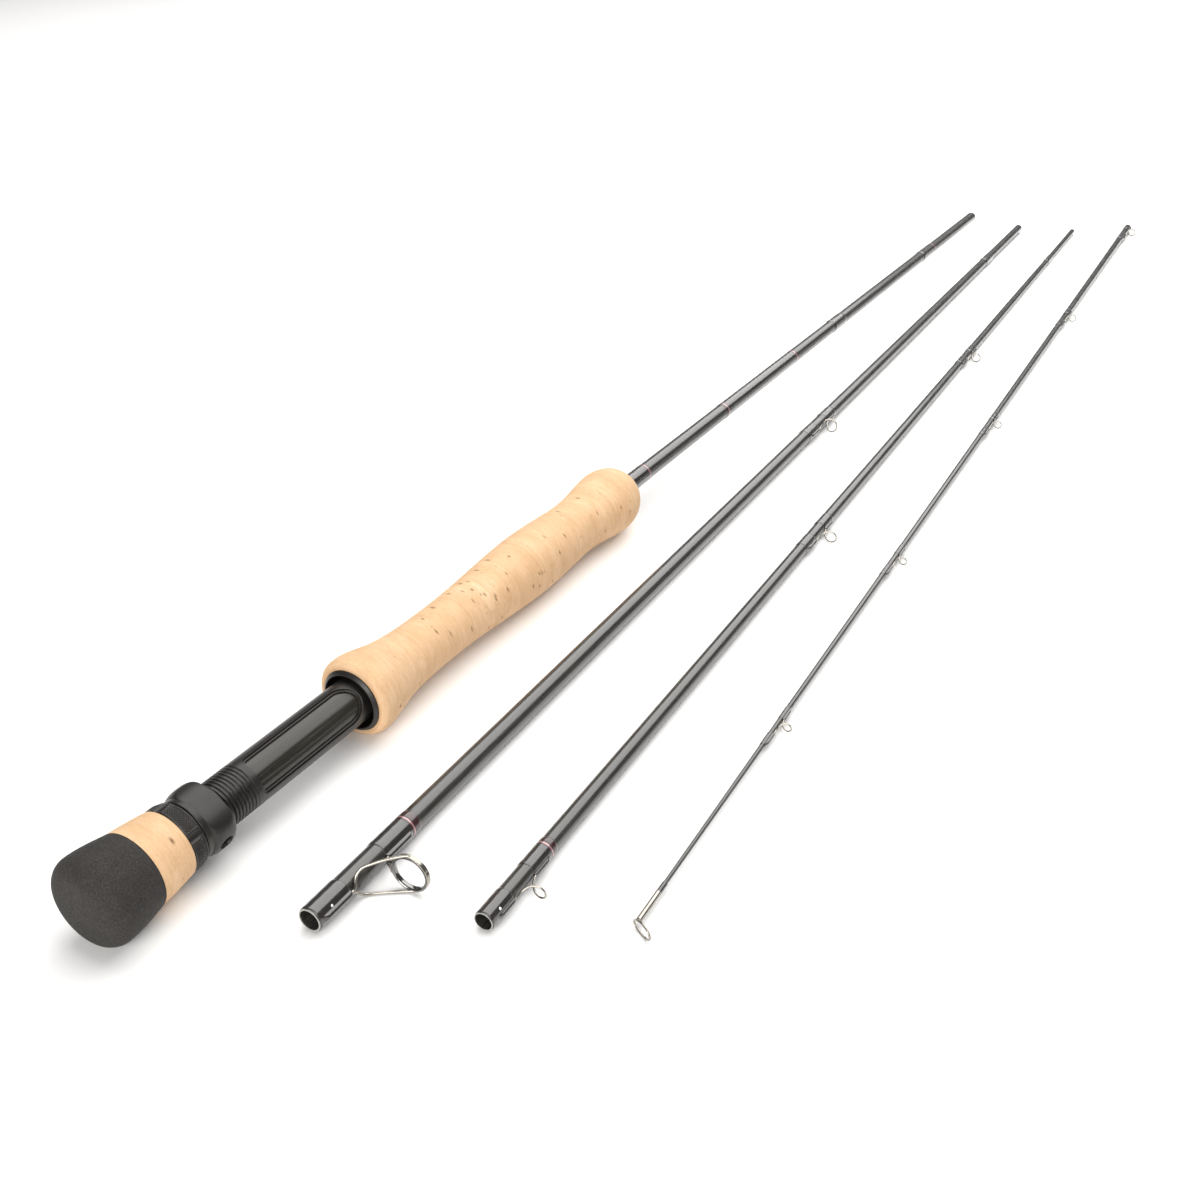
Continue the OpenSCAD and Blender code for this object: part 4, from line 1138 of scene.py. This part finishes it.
OUT_R = IN_R + 0.65
BAND = OUT_R + 0.45
FX = 3.56 + 0.42 + 0.03
parts = [ring_solid([(OUT_R, -0.75), (BAND - 0.1, -0.75), (BAND, -0.6), (BAND, 0.6), (BAND - 0.1, 0.75), (OUT_R, 0.75)])]
for m in (-1, 1):
    parts.append(tube(catmull([[FX, m * 0.15, 3.5], [FX, m * 0.15, 9], [FX, m * 0.15, 13], [FX + 0.02, m * 0.9, 14.5],
                               [3.5, m * 2.35, 15.7], [3.7, m * 3.6, 16.8], [4.7, m * 4.4 - 0.25, 18.1], [6.4, m * 4.8 - 0.3, 19.5],
                               [9.5, m * 5.35 - 0.3, 21.7], [12.4, m * 5.7 - 0.15, 23.6], [14.2, m * 5.8 - 0.05, 24.7], [15.2, m * 5.78, 25.1]], 12), 0.42, 18))
    parts.append(tube(catmull([[FX, m * 0.12, 38.6], [FX, m * 0.12, 34], [FX, m * 0.12, 28.6], [FX + 0.5, m * 0.3, 27.5],
                               [FX + 2.5, m * 0.9, 26.2], [8.4, m * 1.9, 25.5], [9.2, m * 2.9, 25.2]], 12), 0.42, 18))
# flat tab between the back leg and the ring, its edges broken
tx = rounded([(-1.5, 24.9), (1.5, 24.9), (1.5, 25.9), (-1.5, 25.9)], 0.2, 4)
tv = [(x, y, z) for x in (7.35, 8.78) for y, z in tx]
parts.append((np.array(tv), [list(range(len(tx)))[::-1], list(range(len(tx), 2 * len(tx)))] + grid_faces(2, len(tx))))
v, f = join(parts)
finish_mesh("stripping_guide_wire", v, f, WIRE, 1, nodes_=("stripping_guide_frame",), slot="guide_wire", angle=60)

# tip-top
revolve("tip_top_sleeve", rounded([(0.66, 0.7), (0.66, 12), (0.86, 12), (0.86, 0.35), (0.55, 0.02), (0.3, 0.0)], 0.08, close=False).tolist() + [[0, 0], [0, 0.7]],
        WIRE, 3, seg=48, close=False, nodes_=("tip_top_tube",), slot="guide_wire", angle=45)
loop = catmull([[p[0], p[1], -0.62 - 0.62 * (p[0] + 0.9)] for p in
                [[-0.9, 0.0], [-0.4, 1.15], [1.5, 2.1], [3.7, 2.35], [5.3, 1.3], [5.75, 0], [5.3, -1.3], [3.7, -2.35], [1.5, -2.1], [-0.4, -1.15]]], 14, closed=True)
v, f = tube(loop, 0.34, 18, closed=True, hint=(0.527, 0, 0.85))
finish_mesh("tip_top_wire", v, f, WIRE, 3, nodes_=("tip_top_loop",), slot="guide_wire", angle=60)


# alignment dots: small domes of paint
def dot(name, n, s, ang, node):
    r0 = rad(n, s) + 0.25
    V, F, rings, sg = [(r0 + 0.09, 0, s)], [], 5, 32
    for i in range(1, rings + 1):
        q = i / rings
        for j in range(sg):
            t = 2 * PI * j / sg
            V.append((r0 + 0.09 * (1 - q ** 3) - (0.03 if i == rings else 0), 0.42 * q * math.sin(t), s + 0.42 * q * math.cos(t)))
    F += [(0, 1 + j, 1 + (j + 1) % sg) for j in range(sg)]
    for i in range(rings - 1):
        F += [(1 + i * sg + j, 1 + (i + 1) * sg + j, 1 + (i + 1) * sg + (j + 1) % sg, 1 + i * sg + (j + 1) % sg) for j in range(sg)]
    F.append([1 + (rings - 1) * sg + j for j in range(sg)][::-1])
    a = math.radians(ang)
    V = np.array(V) @ np.array([[math.cos(a), math.sin(a), 0], [-math.sin(a), math.cos(a), 0], [0, 0, 1]])
    return finish_mesh(name, V, F, DOT, n, nodes_=(node,), slot="dot_paint", angle=60)


dot("dot_2", 1, 5.6, -22, "align_dot_2")
dot("dot_3", 2, 4.6, -35, "align_dot_3")

# CAD nodes that stay: the arbors inside the seat
for name, mat in (("seat_arbors", ARBOR),):
    ob = nodes[name]
    ob.data.materials.clear()
    ob.data.materials.append(mat)

# ------------------------------------------------------------------ floor and light
floor_me = bpy.data.meshes.new("floor")
floor_me.from_pydata([(-30, -30, 0), (30, -30, 0), (30, 30, 0), (-30, 30, 0)], [], [(0, 1, 2, 3)])
floor = bpy.data.objects.new("floor", floor_me)
bpy.context.scene.collection.objects.link(floor)
fm, fnt, fsh = material("pale_floor")
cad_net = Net(fnt)
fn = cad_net.noise(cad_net.coords(), 3, 2)
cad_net.wire(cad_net.ramp(fn, [(0.3, (0.93, 0.93, 0.925)), (0.7, (0.95, 0.95, 0.945))]), fsh.inputs["Base Color"])
fsh.inputs["Roughness"].default_value = 0.55
fsh.inputs["Specular IOR Level"].default_value = 0.2
floor_me.materials.append(fm)


def area(name, loc, aim, size, power, col=(1, 1, 1)):
    li = bpy.data.lights.new(name, "AREA")
    li.shape = "RECTANGLE"
    li.size, li.size_y = size
    li.energy = power
    li.color = col
    ob = bpy.data.objects.new(name, li)
    bpy.context.scene.collection.objects.link(ob)
    ob.location = loc
    ob.rotation_euler = (Vector(aim) - Vector(loc)).to_track_quat("-Z", "Y").to_euler()
    return ob


area("softbox_over", (-0.10, 1.15, 1.20), (-0.10, 1.15, 0.0), (2.1, 3.0), 62, (1.0, 0.99, 0.97))
area("fill_front", (0.4, -1.7, 0.7), (0.0, -0.1, 0.0), (1.4, 0.8), 26, (1.0, 0.985, 0.96))

bpy.context.scene.view_settings.view_transform = "Standard"

world = bpy.data.worlds.new("studio")
bpy.context.scene.world = world
world.use_nodes = True
wt = world.node_tree
wt.nodes.clear()
wo = wt.nodes.new("ShaderNodeOutputWorld")
bg = wt.nodes.new("ShaderNodeBackground")
bg.inputs[0].default_value = (0.95, 0.96, 1.0, 1)
bg.inputs[1].default_value = 0.20
wt.links.new(bg.outputs[0], wo.inputs[0])
